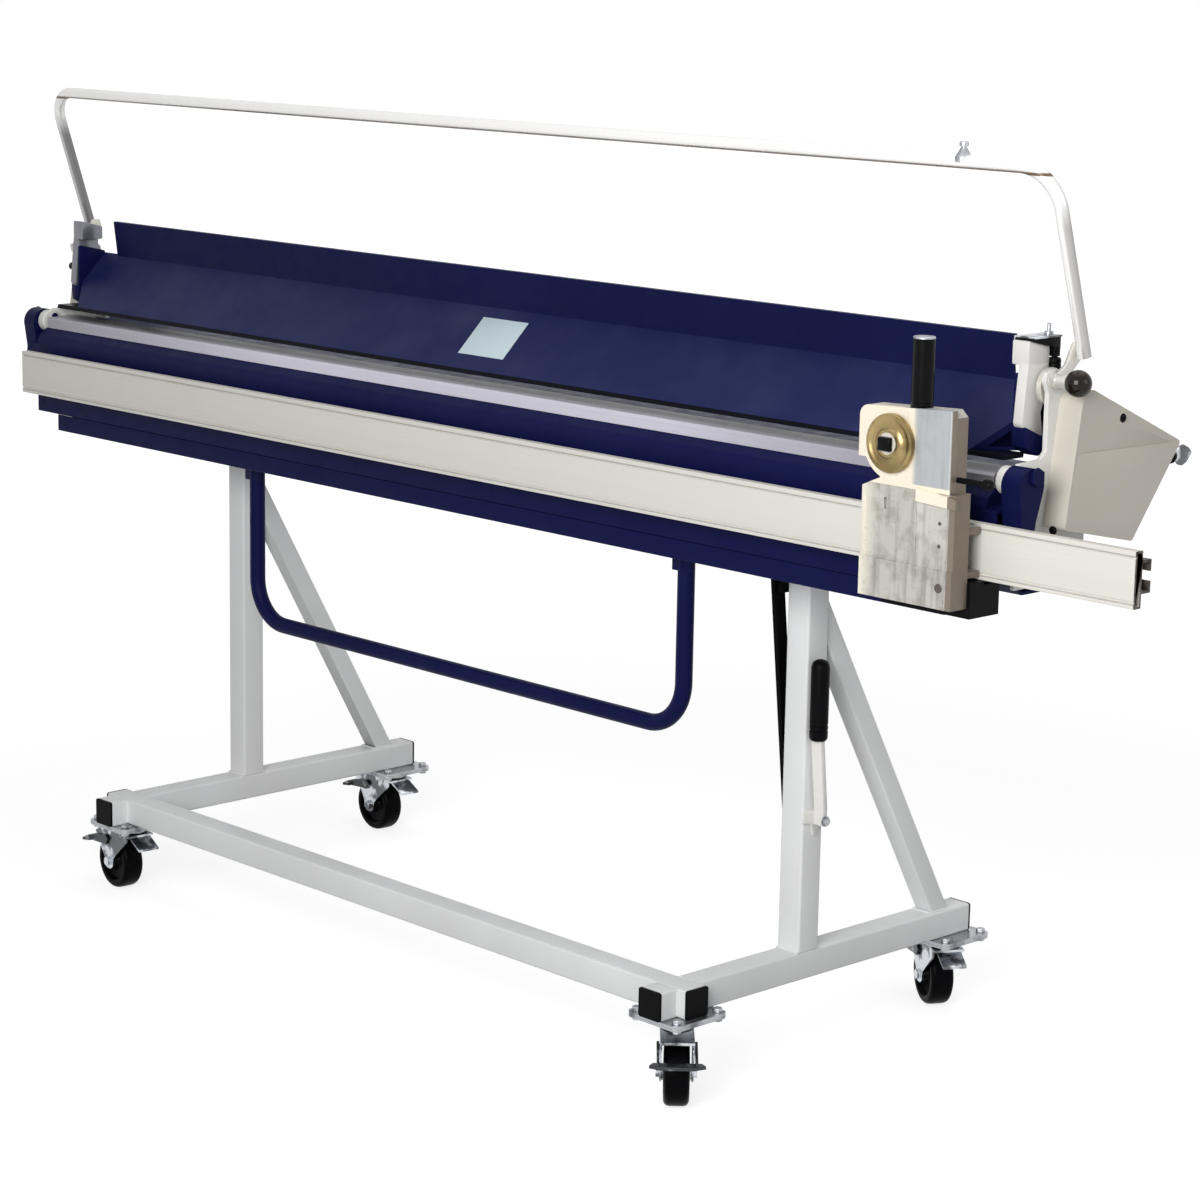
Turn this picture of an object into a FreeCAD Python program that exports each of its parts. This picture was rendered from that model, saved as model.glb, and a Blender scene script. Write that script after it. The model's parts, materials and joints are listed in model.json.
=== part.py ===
import FreeCAD, Part
import math
import os

# Mobile sheet metal folding machine, all lengths in millimetres.
# Working frame: X to the operator's right from the middle of the bending length,
# Y to the rear from the fold line, Z up from the floor.

TUBE = 45.0
TUBE_WALL = 3.0
RAIL_LOW = 132.4
RAIL_TOP = RAIL_LOW + TUBE
RAIL_MID = RAIL_LOW + TUBE / 2
SIDE_X = 695.0
FRONT_RAIL_Y = -158.5
FRONT_RAIL_HALF = 733.0
STUB_FRONT_Y = -214.0
SIDE_RAIL_REAR_Y = 485.0
CAP = 4.0
POST_Y = 102.5
BRACE = 35.0
BRACE_TOP = (125.0, 732.0)
BRACE_FOOT = (439.0, RAIL_TOP)

MOUNT_PLATE = 5.0
CASTER_PLATE = 3.5
CASTER_PLATE_LOW = RAIL_LOW - MOUNT_PLATE - CASTER_PLATE
PLATE_HALF = (54.0, 56.0)
POST_PLATE = 8.0
POST_PLATE_HALF = (56.0, 50.0)
BEND_STEPS = 4
BOLT_HEX = 13.0
RACE_R = 31.0
BRIDGE = (107.0, 111.0)
WHEEL_R = 50.0
WHEEL_WIDTH = 38.0
TRAIL = 37.0
FORK_SIDE = (22.5, 25.5)
PEDAL_SIDE = (26.5, 30.5)
PEDAL_PIVOT = (42.0, 90.0)
CASTERS = {
    "front_left": (-SIDE_X, FRONT_RAIL_Y, 175.0),
    "front_right": (SIDE_X, FRONT_RAIL_Y, -44.0),
    "rear_left": (-SIDE_X, 450.0, 176.0),
    "rear_right": (SIDE_X, 450.0, 150.0),
}

TABLE = 987.0
BEAM_LOW = 813.0
BEAM_FRONT = 5.0
BEAM_REAR = 155.0
BEAM_WALL = 5.0
POST_TOP = BEAM_LOW - POST_PLATE
JAW = 10.0
FRAME_INNER = 1157.0
FRAME_OUTER = 1165.0
LUG_INNER = 1147.0
COVER_OUTER = 1205.0
SHEET = 2.0
COVER_CORNERS = [
    (60.0, 908.0),
    (87.0, 1084.0),
    (107.0, 1100.0),
    (317.0, 1009.0, 6.0),
    (213.0, 876.0, 6.0),
]
COVER_SCREW = (178.0, 1054.0)
LATCH = (1185.0, 984.0)

FOLD_AXIS = (0.0, TABLE)
PIN_R = 6.0
RUNNING = 0.05
CHEEK = (1165.5, 1198.5)
CHEEK_LOW = 862.0
FOLD_HALF = 1145.0
FOLD_FRONT = -41.0
FOLD_REAR = -3.0
FOLD_LOW = 812.0
FOLD_TOP = 967.0
APRON_HALF = 1080.0
APRON_LOW = 782.0
APRON_REAR = -8.0
APRON_SHEET = 2.5
RAIL_LEFT = -1145.0
RAIL_RIGHT = 1427.0
GUIDE_FRONT = -75.0
GUIDE_BACK = -60.0
GUIDE_LOW = 850.0
GUIDE_HIGH = 927.0
HOOK_LOWS = (869.0, 898.0)
HANDLE_X = 532.0
HANDLE_Y = 4.0
HANDLE_LOW = 506.0
HANDLE_TOP = 776.0
HANDLE_R = 13.5
HANDLE_BEND = 75.0

CLAMP_GAP = 16.0
CLAMP_HALF = 1144.0
BLADE_HIGH = 7.0
PANEL_HALF = 1077.0
CREASE = (99.0, 1104.0)
PANEL_TOP = 1165.0
ARM_X = (1113.0, 1143.0)
ARM_LEG_INNER = 1126.0
ARM_TOP = 1164.0
ARM_STEP = 1130.0
CLAMP_TRAVEL = 15.5

SHAFT = (69.0, 1111.0)
SHAFT_R = 10.0
CRANK_X = (1168.0, 1174.0)
CAM_X = (1146.0, 1154.0)
CAM_CENTRE = (82.0, 1100.1)
CAM_R = 26.2
BAIL_X = 1184.0
BAIL_FOOT = (112.0, 1142.0)
BAIL_TOP = (29.0, 1402.0)
BAIL_R = 10.0
BAIL_BEND = 60.0
STUD_X = 1024.0
BALL_X = 1209.0
BALL_R = 19.0

CUTTER_X = (999.0, 1163.0)
CUTTER_BLOCK_X = (1006.0, 1172.0)
CUTTER_Y = (-139.0, -105.0)
CUTTER_LOW = 814.0
CUTTER_SPLIT = 972.0
CUTTER_TOP_LEFT = 1077.0
CUTTER_TOP_RIGHT = 1085.0
CUTTER_PLATE = 12.0
CUTTER_FOOT = 868.0
DISC = (1059.0, 1030.0)
DISC_CLEAR = 52.0
HUB_R = 41.0
UPPER_KNIFE_R = 43.0
LOWER_KNIFE_R = 29.0
LOWER_DISC = (DISC[0], TABLE + 0.5 - LOWER_KNIFE_R)
KNIFE_FRONT = -81.5
KNIFE_PLATE = 3.0
GRIP = (1094.0, -121.0)
GRIP_R = 15.5
GRIP_SEAT = 1080.0
GRIP_TOP = 1178.0
LOCK = (-122.0, 991.0)
LOCK_END = 1208.0

LEVER_PIVOT = (104.0, 388.0)
LEVER_X = 731.5
LEVER_HALF = 10.0
LEVER_STEM_TOP = 515.0
LEVER_GRIP_TOP = 640.0


def vec(x, y, z):
    return FreeCAD.Vector(x, y, z)


def box(x, y, z):
    return Part.makeBox(x[1] - x[0], y[1] - y[0], z[1] - z[0], vec(x[0], y[0], z[0]))


def place(axis, along, first, second):
    """Point at a position along an axis with its other two coordinates in reading order."""
    if axis == "x":
        return vec(along, first, second)
    if axis == "y":
        return vec(first, along, second)
    return vec(first, second, along)


def rod(axis, centre, radius, span):
    """Round bar parallel to an axis."""
    start = place(axis, span[0], *centre)
    end = place(axis, span[1], *centre)
    return Part.makeCylinder(radius, (end - start).Length, start, end - start)


def unit(vector):
    return vector * (1.0 / vector.Length)


def rounded_edges(points, radii, closed):
    """Straight edges between the points, with an arc at each corner that has a radius."""
    count = len(points)
    stops = []
    for i in range(count):
        at = points[i]
        inner = closed or 0 < i < count - 1
        if not radii[i] or not inner:
            stops.append((at, None, at))
            continue
        back = unit(points[i - 1] - at)
        ahead = unit(points[(i + 1) % count] - at)
        half = back.getAngle(ahead) / 2
        reach = radii[i] / math.tan(half)
        middle = unit(back + ahead)
        centre = at + middle * (radii[i] / math.sin(half))
        stops.append((at + back * reach, centre - middle * radii[i], at + ahead * reach))
    edges = []
    for i in range(count):
        start, through, end = stops[i]
        if through is not None:
            edges.append(Part.Arc(start, through, end).toShape())
        if i == count - 1 and not closed:
            continue
        following = stops[(i + 1) % count][0]
        if end.distanceToPoint(following) > 1e-6:
            edges.append(Part.makeLine(end, following))
    return edges


def outline(axis, corners, along):
    """Closed wire square to an axis. A third number in a corner is its rounding."""
    points = [place(axis, along, c[0], c[1]) for c in corners]
    radii = [c[2] if len(c) > 2 else 0.0 for c in corners]
    return Part.Wire(rounded_edges(points, radii, True))


def prism(axis, corners, span):
    face = Part.Face(outline(axis, corners, span[0]))
    return face.extrude(place(axis, span[1] - span[0], 0, 0))


def inset(corners, depth):
    """The same corners moved inward by a wall thickness, sharp where the outer ones are tight."""
    count = len(corners)
    area = sum(
        corners[i][0] * corners[(i + 1) % count][1] - corners[(i + 1) % count][0] * corners[i][1]
        for i in range(count)
    )
    side = 1.0 if area > 0 else -1.0
    lines = []
    for i in range(count):
        (ax, ay), (bx, by) = corners[i][:2], corners[(i + 1) % count][:2]
        length = math.hypot(bx - ax, by - ay)
        nx, ny = -(by - ay) / length * side, (bx - ax) / length * side
        lines.append((ax + nx * depth, ay + ny * depth, bx - ax, by - ay))
    result = []
    for i in range(count):
        px, py, dx, dy = lines[i - 1]
        qx, qy, ex, ey = lines[i]
        t = ((qx - px) * ey - (qy - py) * ex) / (dx * ey - dy * ex)
        outer = corners[i][2] if len(corners[i]) > 2 else 0.0
        rounding = outer - depth if outer > 3 * depth else 0.0
        result.append((px + dx * t, py + dy * t, rounding))
    return result


def hollow(axis, corners, span, wall):
    """Bent or drawn hollow section, open at both ends."""
    return prism(axis, corners, span).cut(prism(axis, inset(corners, wall), span))


def rectangle(centre, half):
    u, v = centre
    a, b = half
    return [(u - a, v - b), (u + a, v - b), (u + a, v + b), (u - a, v + b)]


def square_tube(axis, centre, span):
    return hollow(axis, rectangle(centre, (TUBE / 2, TUBE / 2)), span, TUBE_WALL)


def bent_bar(points, bend, radius):
    """Round bar along straight lengths, each bend drawn in short mitred steps."""
    path = [points[0]]
    for before, corner, after in zip(points, points[1:], points[2:]):
        back = unit(before - corner)
        ahead = unit(after - corner)
        angle = back.getAngle(ahead)
        start = corner + back * (bend / math.tan(angle / 2))
        centre = corner + unit(back + ahead) * (bend / math.sin(angle / 2))
        axis = (start - centre).cross(back * -1)
        step = (180 - math.degrees(angle)) / BEND_STEPS
        for i in range(BEND_STEPS + 1):
            path.append(centre + FreeCAD.Rotation(axis, step * i).multVec(start - centre))
    path.append(points[-1])
    section = Part.Wire(Part.makeCircle(radius, path[0], path[1] - path[0]))
    right_corners = 1
    return Part.makePolygon(path).makePipeShell([section], True, False, right_corners)


def turned(axis, centre, profile):
    """Solid of revolution about a line parallel to an axis, profile as (along, radius) pairs."""
    wire = Part.makePolygon([vec(r, 0, a) for a, r in profile + profile[:1]])
    solid = Part.Face(wire).revolve(vec(0, 0, 0), vec(0, 0, 1), 360)
    if axis == "x":
        solid.rotate(vec(0, 0, 0), vec(0, 1, 0), 90)
    if axis == "y":
        solid.rotate(vec(0, 0, 0), vec(1, 0, 0), -90)
    solid.translate(place(axis, 0, *centre))
    return solid


def hexagon(axis, centre, across, span):
    """Hexagonal head or nut, sized across its flats."""
    reach = across / math.sqrt(3)
    turns = [math.radians(60 * i + 30) for i in range(6)]
    corners = [(centre[0] + reach * math.cos(t), centre[1] + reach * math.sin(t)) for t in turns]
    return prism(axis, corners, span)


def mirrored(shape):
    return shape.mirror(vec(0, 0, 0), vec(1, 0, 0))


def both_sides(shapes):
    return Part.makeCompound(shapes + [mirrored(s) for s in shapes])


def cut_all(shape, tools):
    for tool in tools:
        shape = shape.cut(tool)
    return shape


def fuse_all(shapes):
    result = shapes[0]
    for shape in shapes[1:]:
        result = result.fuse(shape)
    return result.removeSplitter()


def base_rails(parts):
    span = (-FRONT_RAIL_HALF, FRONT_RAIL_HALF)
    parts["front_rail"] = square_tube("x", (FRONT_RAIL_Y, RAIL_MID), span)
    rear_face = FRONT_RAIL_Y + TUBE / 2
    front_face = FRONT_RAIL_Y - TUBE / 2
    side = square_tube("y", (SIDE_X, RAIL_MID), (rear_face, SIDE_RAIL_REAR_Y))
    stub = square_tube("y", (SIDE_X, RAIL_MID), (STUB_FRONT_Y, front_face))
    parts["right_side_rail"] = side
    parts["left_side_rail"] = mirrored(side)
    parts["front_stubs"] = both_sides([stub])


def end_cap(axis, centre, end, outward):
    """Plastic cap with a plug that fits inside the tube."""
    plug_depth = 14.0
    plate_span = sorted((end, end + CAP * outward))
    plug_span = sorted((end, end - plug_depth * outward))
    half = TUBE / 2
    inner = half - TUBE_WALL - 0.1
    plate = prism(axis, rectangle(centre, (half, half)), plate_span)
    plug = prism(axis, rectangle(centre, (inner, inner)), plug_span)
    return plate.fuse(plug)


def tube_end_caps(parts):
    caps = [
        end_cap("x", (FRONT_RAIL_Y, RAIL_MID), FRONT_RAIL_HALF, 1),
        end_cap("y", (SIDE_X, RAIL_MID), STUB_FRONT_Y, -1),
        end_cap("y", (SIDE_X, RAIL_MID), SIDE_RAIL_REAR_Y, 1),
    ]
    parts["tube_end_caps"] = both_sides(caps)


def posts_and_braces(parts):
    post = square_tube("z", (SIDE_X, POST_Y), (RAIL_TOP, POST_TOP))
    parts["right_post"] = post
    parts["left_post"] = mirrored(post)
    run = BRACE_FOOT[0] - BRACE_TOP[0]
    drop = BRACE_TOP[1] - BRACE_FOOT[1]
    length = math.hypot(run, drop)
    corners = [
        BRACE_TOP,
        (BRACE_TOP[0], BRACE_TOP[1] - BRACE * length / run),
        (BRACE_FOOT[0] - BRACE * length / drop, BRACE_FOOT[1]),
        BRACE_FOOT,
    ]
    outer_x = (SIDE_X - BRACE / 2, SIDE_X + BRACE / 2)
    inner_x = (outer_x[0] + TUBE_WALL, outer_x[1] - TUBE_WALL)
    solid = prism("x", corners, outer_x)
    past_y, past_z = run / length * TUBE, drop / length * TUBE
    top_out, top_in, foot_in, foot_out = [c[:2] for c in inset(corners, TUBE_WALL)]
    cavity = [
        (top_out[0] - past_y, top_out[1] + past_z),
        (top_in[0] - past_y, top_in[1] + past_z),
        (foot_in[0] + past_y, foot_in[1] - past_z),
        (foot_out[0] + past_y, foot_out[1] - past_z),
    ]
    brace = solid.cut(prism("x", cavity, inner_x))
    parts["right_brace"] = brace
    parts["left_brace"] = mirrored(brace)


def clipped(centre, half, clip):
    """Rectangle with its corners cut off at 45 degrees."""
    (u, v), (a, b) = centre, half
    return [
        (u - a + clip, v - b), (u + a - clip, v - b), (u + a, v - b + clip), (u + a, v + b - clip),
        (u + a - clip, v + b), (u - a + clip, v + b), (u - a, v + b - clip), (u - a, v - b + clip),
    ]


def plates(parts):
    """Bolt-on plates under the rails and on the posts, and the casters' own top plates."""
    mounts = []
    tops = []
    low = CASTER_PLATE_LOW
    middle = low + CASTER_PLATE
    for x, y, turn in CASTERS.values():
        corners = clipped((x, y), PLATE_HALF, 8.0)
        mounts.append(prism("z", corners, (middle, RAIL_LOW)))
        race = rod("z", (x, y), RACE_R, (BRIDGE[1] + RUNNING, low))
        tops.append(prism("z", corners, (low, middle)).fuse(race))
    for x in (-SIDE_X, SIDE_X):
        corners = clipped((x, POST_Y), POST_PLATE_HALF, 5.0)
        mounts.append(prism("z", corners, (POST_TOP, BEAM_LOW)))
    parts["mount_plates"] = Part.makeCompound(mounts)
    parts["caster_plates"] = Part.makeCompound(tops)


def lower_beam(parts):
    top = TABLE - JAW
    corners = [
        (BEAM_FRONT, top),
        (BEAM_FRONT, BEAM_LOW + 25.0),
        (BEAM_FRONT + 25.0, BEAM_LOW),
        (BEAM_REAR, BEAM_LOW),
        (BEAM_REAR, top),
    ]
    parts["lower_beam"] = hollow("x", corners, (-FRAME_INNER, FRAME_INNER), BEAM_WALL)
    jaw_corners = [(0.5, TABLE), (46.0, TABLE), (46.0, top), (4.0, top), (0.5, top + 4.0)]
    parts["lower_jaw"] = prism("x", jaw_corners, (-(LUG_INNER - 4.0), LUG_INNER - 4.0))


def end_frames(parts):
    """End plate with the hinge lug, the bail bearing and the clamp beam's rear guide rib."""
    plate_x = (FRAME_INNER, FRAME_OUTER)
    low = BEAM_LOW + 11.0
    plate = prism("x", [
        (BEAM_FRONT, low),
        (BEAM_REAR, low),
        (BEAM_REAR, 905.0),
        (165.0, 938.0),
        (220.0, 1014.0),
        (211.0, 1050.0),
        (97.0, 1104.0),
        (86.0, 1120.0),
        (72.0, 1126.0),
        (52.0, 1125.0),
        (42.0, 1114.0),
        (42.0, 1030.0),
        (BEAM_FRONT, 1006.0),
    ], plate_x)
    lug = rod("x", (-5.0, 978.0), 20.0, (LUG_INNER, FRAME_OUTER))
    beside_beam = box((LUG_INNER - 1, FRAME_INNER), (BEAM_FRONT - 0.5, 40), (900, 1050))
    rib = box((1130.0, FRAME_INNER), (104.3, 112.0), (TABLE - JAW, 1060.0))
    tab = box((FRAME_OUTER, 1195.0), (66.5, 70.5), (912.0, 932.0))
    whole = fuse_all([plate, lug.cut(beside_beam), rib, tab])
    frame = cut_all(whole, [
        rod("x", FOLD_AXIS, PIN_R + RUNNING, (LUG_INNER, FRAME_OUTER)),
        rod("x", SHAFT, SHAFT_R + RUNNING, plate_x),
    ])
    parts["right_end_frame"] = frame
    parts["left_end_frame"] = mirrored(frame)


def covers(parts):
    """Pressed tray with a folded rim all round, a stiffening groove and its screw."""
    rim_x = (FRAME_OUTER, COVER_OUTER)
    solid = prism("x", COVER_CORNERS, rim_x)
    pocket = prism("x", inset(COVER_CORNERS, SHEET), (rim_x[0], rim_x[1] - SHEET))
    groove_line = [(84.0, 1013.4), (296.0, 1010.0), (296.0, 1008.4), (84.0, 1011.8)]
    groove = prism("x", groove_line, (COVER_OUTER - 0.7, COVER_OUTER))
    screw = hexagon("x", COVER_SCREW, 10.0, (COVER_OUTER - SHEET, COVER_OUTER + 3.0))
    cover = cut_all(solid, [pocket, groove]).fuse(screw)
    parts["right_cover"] = cover
    parts["left_cover"] = mirrored(cover)
    parts["cover_latches"] = both_sides([wing_latch()])


def wing_latch():
    """Quarter-turn latch with two wings on a stem standing on the cover's rear edge."""
    x, z = LATCH
    seat = 316.0
    wing = [
        (x - 8.0, seat + 2.0),
        (x - 26.0, seat + 34.0),
        (x - 15.0, seat + 39.0),
        (x, seat + 18.0),
        (x + 15.0, seat + 39.0),
        (x + 26.0, seat + 34.0),
        (x + 8.0, seat + 2.0),
    ]
    return fuse_all([
        hexagon("y", LATCH, 16.0, (seat - 4.0, seat + 12.0)),
        prism("z", wing, (z - 2.5, z + 2.5)),
    ])


def stand_fittings(parts):
    """Clip for the side lever and the slim stay bar inside the right post."""
    post_face = SIDE_X + TUBE / 2
    clip_z = (362.0, 402.0)
    strap = box((post_face, post_face + 4.0), (78.0, 127.0), clip_z)
    rear = box((post_face - 30.0, post_face + 4.0), (125.0, 129.0), clip_z)
    parts["lever_bracket"] = strap.fuse(rear)
    bar = [(60.0, 757.0), (82.0, 757.0), (125.0, 372.0), (103.0, 372.0)]
    bar_x = (655.0, 663.0)
    inner_face = SIDE_X - TUBE / 2
    parts["stay_bar"] = fuse_all([
        prism("x", bar, bar_x),
        box((bar_x[1], inner_face), (66.0, 100.0), (735.0, 752.0)),
        box((bar_x[1], inner_face), (102.0, 122.0), (376.0, 396.0)),
    ])


def folding_beam(parts):
    upper = [
        (FOLD_REAR, FOLD_TOP),
        (-20.0, FOLD_TOP),
        (-34.0, 956.0),
        (FOLD_FRONT, 943.0),
        (FOLD_FRONT, FOLD_LOW),
        (FOLD_REAR, FOLD_LOW),
    ]
    body = hollow("x", upper, (-FOLD_HALF, FOLD_HALF), 4.0)
    stub = [
        (FOLD_REAR, 948.0),
        (FOLD_FRONT, 938.0),
        (FOLD_FRONT, CHEEK_LOW),
        (FOLD_REAR, CHEEK_LOW),
    ]
    ends = hollow("x", stub, (FOLD_HALF - 4.0, CHEEK[0]), 4.0)
    closing = prism("x", upper, (FOLD_HALF - 4.0, FOLD_HALF))
    parts["folding_beam"] = fuse_all([body, closing, mirrored(closing), ends, mirrored(ends)])
    blade = [(-0.6, TABLE), (-0.6, FOLD_TOP), (-20.0, FOLD_TOP), (-20.0, TABLE - 4.0), (-16.0, TABLE)]
    reach = LUG_INNER - 6.0
    parts["folding_blade"] = prism("x", blade, (-reach, reach))
    wall = APRON_SHEET
    trough = [
        (FOLD_FRONT, FOLD_LOW),
        (FOLD_FRONT, APRON_LOW),
        (APRON_REAR, APRON_LOW),
        (APRON_REAR, FOLD_LOW),
    ]
    inner = [
        (FOLD_FRONT + wall, FOLD_LOW),
        (FOLD_FRONT + wall, APRON_LOW + wall),
        (APRON_REAR - wall, APRON_LOW + wall),
        (APRON_REAR - wall, FOLD_LOW),
    ]
    span = (-APRON_HALF, APRON_HALF)
    parts["apron"] = prism("x", trough, span).cut(prism("x", inner, span))


def guide_rail(parts):
    """Drawn aluminium section: hollow front box, two grooves and two rear hooks."""
    face = [
        (GUIDE_FRONT, GUIDE_LOW),
        (GUIDE_BACK, GUIDE_LOW),
        (GUIDE_BACK, GUIDE_HIGH),
        (GUIDE_FRONT, GUIDE_HIGH),
    ]
    span = (RAIL_LEFT, RAIL_RIGHT)
    shape = hollow("x", face, span, 3.0)
    lower, upper = HOOK_LOWS
    hook_high = 16.0
    web = 4.0
    lip_y = (FOLD_FRONT - web, FOLD_FRONT)
    webs = {lower: lower, upper: upper + hook_high - web}
    for low, web_low in webs.items():
        shape = shape.fuse(box(span, (GUIDE_BACK, lip_y[0]), (web_low, web_low + web)))
        shape = shape.fuse(box(span, lip_y, (low, low + hook_high)))
    groove = 1.6
    for z in (GUIDE_LOW + 8.0, GUIDE_HIGH - 8.0 - groove):
        shape = shape.cut(box(span, (GUIDE_FRONT, GUIDE_FRONT + 1.8), (z, z + groove)))
    parts["guide_rail"] = shape.removeSplitter()


def fold_cheeks(parts):
    """Cast cheek that carries the folding beam on its pin, with a round head and a waist."""
    head = rod("x", (-8.0, 974.0), 26.0, CHEEK)
    shank = prism("x", [
        (-33.0, 966.0),
        (-27.0, 925.0, 30.0),
        (-38.0, 885.0, 12.0),
        (-38.0, CHEEK_LOW),
        (FOLD_REAR, CHEEK_LOW),
        (FOLD_REAR, 885.0),
        (4.0, 925.0, 30.0),
        (17.0, 966.0),
    ], CHEEK)
    cheek = head.fuse(shank).removeSplitter().cut(rod("x", FOLD_AXIS, PIN_R, CHEEK))
    parts["right_fold_cheek"] = cheek
    parts["left_fold_cheek"] = mirrored(cheek)
    pin = rod("x", FOLD_AXIS, PIN_R, (LUG_INNER - 3.0, CHEEK[1]))
    head = hexagon("x", FOLD_AXIS, 24.0, (CHEEK[1], CHEEK[1] + 5.0))
    parts["fold_pins"] = both_sides([pin.fuse(head)])


def u_handle(parts):
    points = [
        vec(-HANDLE_X, HANDLE_Y, HANDLE_TOP),
        vec(-HANDLE_X, HANDLE_Y, HANDLE_LOW),
        vec(HANDLE_X, HANDLE_Y, HANDLE_LOW),
        vec(HANDLE_X, HANDLE_Y, HANDLE_TOP),
    ]
    bar = bent_bar(points, HANDLE_BEND, HANDLE_R)
    flat_low = HANDLE_TOP - 20.0
    flat_top = 808.0
    pieces = [bar]
    for x in (-HANDLE_X, HANDLE_X):
        corners = [
            (x - 20, flat_low),
            (x + 20, flat_low),
            (x + 20, flat_top),
            (x - 20, flat_top),
        ]
        pieces.append(prism("y", corners, (APRON_REAR, FOLD_REAR)))
    parts["u_handle"] = fuse_all(pieces)


def slope_point(y):
    """Height of the clamp beam's inclined face above a depth."""
    nose = (3.0, TABLE + CLAMP_GAP + BLADE_HIGH)
    return nose[1] + (y - nose[0]) * (CREASE[1] - nose[1]) / (CREASE[0] - nose[0])


def clamp_beam(parts):
    low = TABLE + CLAMP_GAP + BLADE_HIGH
    corners = [(3.0, low), (104.0, low), (104.0, 1098.0), CREASE]
    body = prism("x", corners, (-CLAMP_HALF, CLAMP_HALF))
    cavity = [(20.0, low + 5.0), (99.0, low + 5.0), (99.0, 1092.0)]
    body = body.cut(prism("x", cavity, (-(CLAMP_HALF - 6.0), CLAMP_HALF - 6.0)))
    back = (87.0, PANEL_TOP)
    panel = [(99.0, 1102.0), (90.0, PANEL_TOP), back, (95.6, 1099.6)]
    sheet = prism("x", panel, (-PANEL_HALF, PANEL_HALF))
    lip = box((-PANEL_HALF, PANEL_HALF), (back[0], 97.0), (PANEL_TOP - 2.5, PANEL_TOP))
    parts["clamp_beam"] = fuse_all([body, sheet, lip])
    blade = [(1.0, low - BLADE_HIGH), (44.0, low - BLADE_HIGH), (44.0, low), (3.5, low)]
    parts["clamp_blade"] = prism("x", blade, (-(CLAMP_HALF - 4.0), CLAMP_HALF - 4.0))


def clamp_arms(parts):
    """Leaning arm with a stepped head, standing on the inclined face, and its adjuster."""
    head = prism("x", [
        (42.0, ARM_TOP),
        (42.0, ARM_STEP),
        (88.0, ARM_STEP),
        (88.0, ARM_TOP, 6.0),
    ], ARM_X)
    leg = prism("x", [
        (40.0, ARM_STEP + 4.0),
        (32.0, slope_point(32.0)),
        (66.0, slope_point(66.0)),
        (85.0, ARM_STEP + 4.0),
    ], (ARM_LEG_INNER, ARM_X[1]))
    arm = fuse_all([head, leg])
    parts["right_clamp_arm"] = arm
    parts["left_clamp_arm"] = mirrored(arm)
    bracket_top = ARM_TOP + 5.0
    bracket_outer = ARM_X[1] + 5.0
    bracket = fuse_all([
        box((ARM_X[0], bracket_outer), (44.0, 110.0), (ARM_TOP, bracket_top)),
        box((bracket_outer - 4.0, bracket_outer), (90.0, 110.0), (1139.0, ARM_TOP)),
    ])
    spindle = (1131.0, 99.0)
    stem = hexagon("z", spindle, 7.0, (1139.0, ARM_TOP))
    knob = rod("z", spindle, 9.5, (1121.0, 1139.0))
    head = hexagon("z", (1126.0, 78.0), BOLT_HEX, (bracket_top, bracket_top + 5.5))
    parts["clamp_adjusters"] = both_sides([fuse_all([bracket, stem, knob, head])])


def bail(parts):
    points = [
        vec(-BAIL_X, *BAIL_FOOT),
        vec(-BAIL_X, *BAIL_TOP),
        vec(BAIL_X, *BAIL_TOP),
        vec(BAIL_X, *BAIL_FOOT),
    ]
    crown = BAIL_TOP[1] + BAIL_R
    stud = rod("z", (STUD_X, BAIL_TOP[0]), 6.0, (crown - 1.0, crown + 18.0))
    parts["bail_tube"] = bent_bar(points, BAIL_BEND, BAIL_R).fuse(stud)
    plate = prism("x", [
        (SHAFT[0] - 15.0, SHAFT[1] + 6.0),
        (SHAFT[0] - 11.0, SHAFT[1] - 8.0),
        (SHAFT[0] + 4.0, SHAFT[1] - 12.5),
        (BAIL_FOOT[0] + 8.0, BAIL_FOOT[1] - 4.0),
        (BAIL_FOOT[0] + 13.0, BAIL_FOOT[1] + 3.0),
        (BAIL_FOOT[0] + 8.0, BAIL_FOOT[1] + 20.0),
        (BAIL_FOOT[0] - 26.0, BAIL_FOOT[1] + 20.0),
    ], CRANK_X)
    cam = rod("x", CAM_CENTRE, CAM_R, CAM_X)
    right_shaft = rod("x", SHAFT, SHAFT_R, (CAM_X[1], 1194.0))
    left_shaft = rod("x", SHAFT, SHAFT_R, (CAM_X[1], 1178.0))
    left_crank = mirrored(fuse_all([plate, cam, left_shaft]))
    parts["bail_cranks"] = Part.makeCompound([fuse_all([plate, cam, right_shaft]), left_crank])
    parts["bail_ball_cap"] = rod("x", SHAFT, BALL_R, (1194.0, BALL_X + BALL_R))


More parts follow.
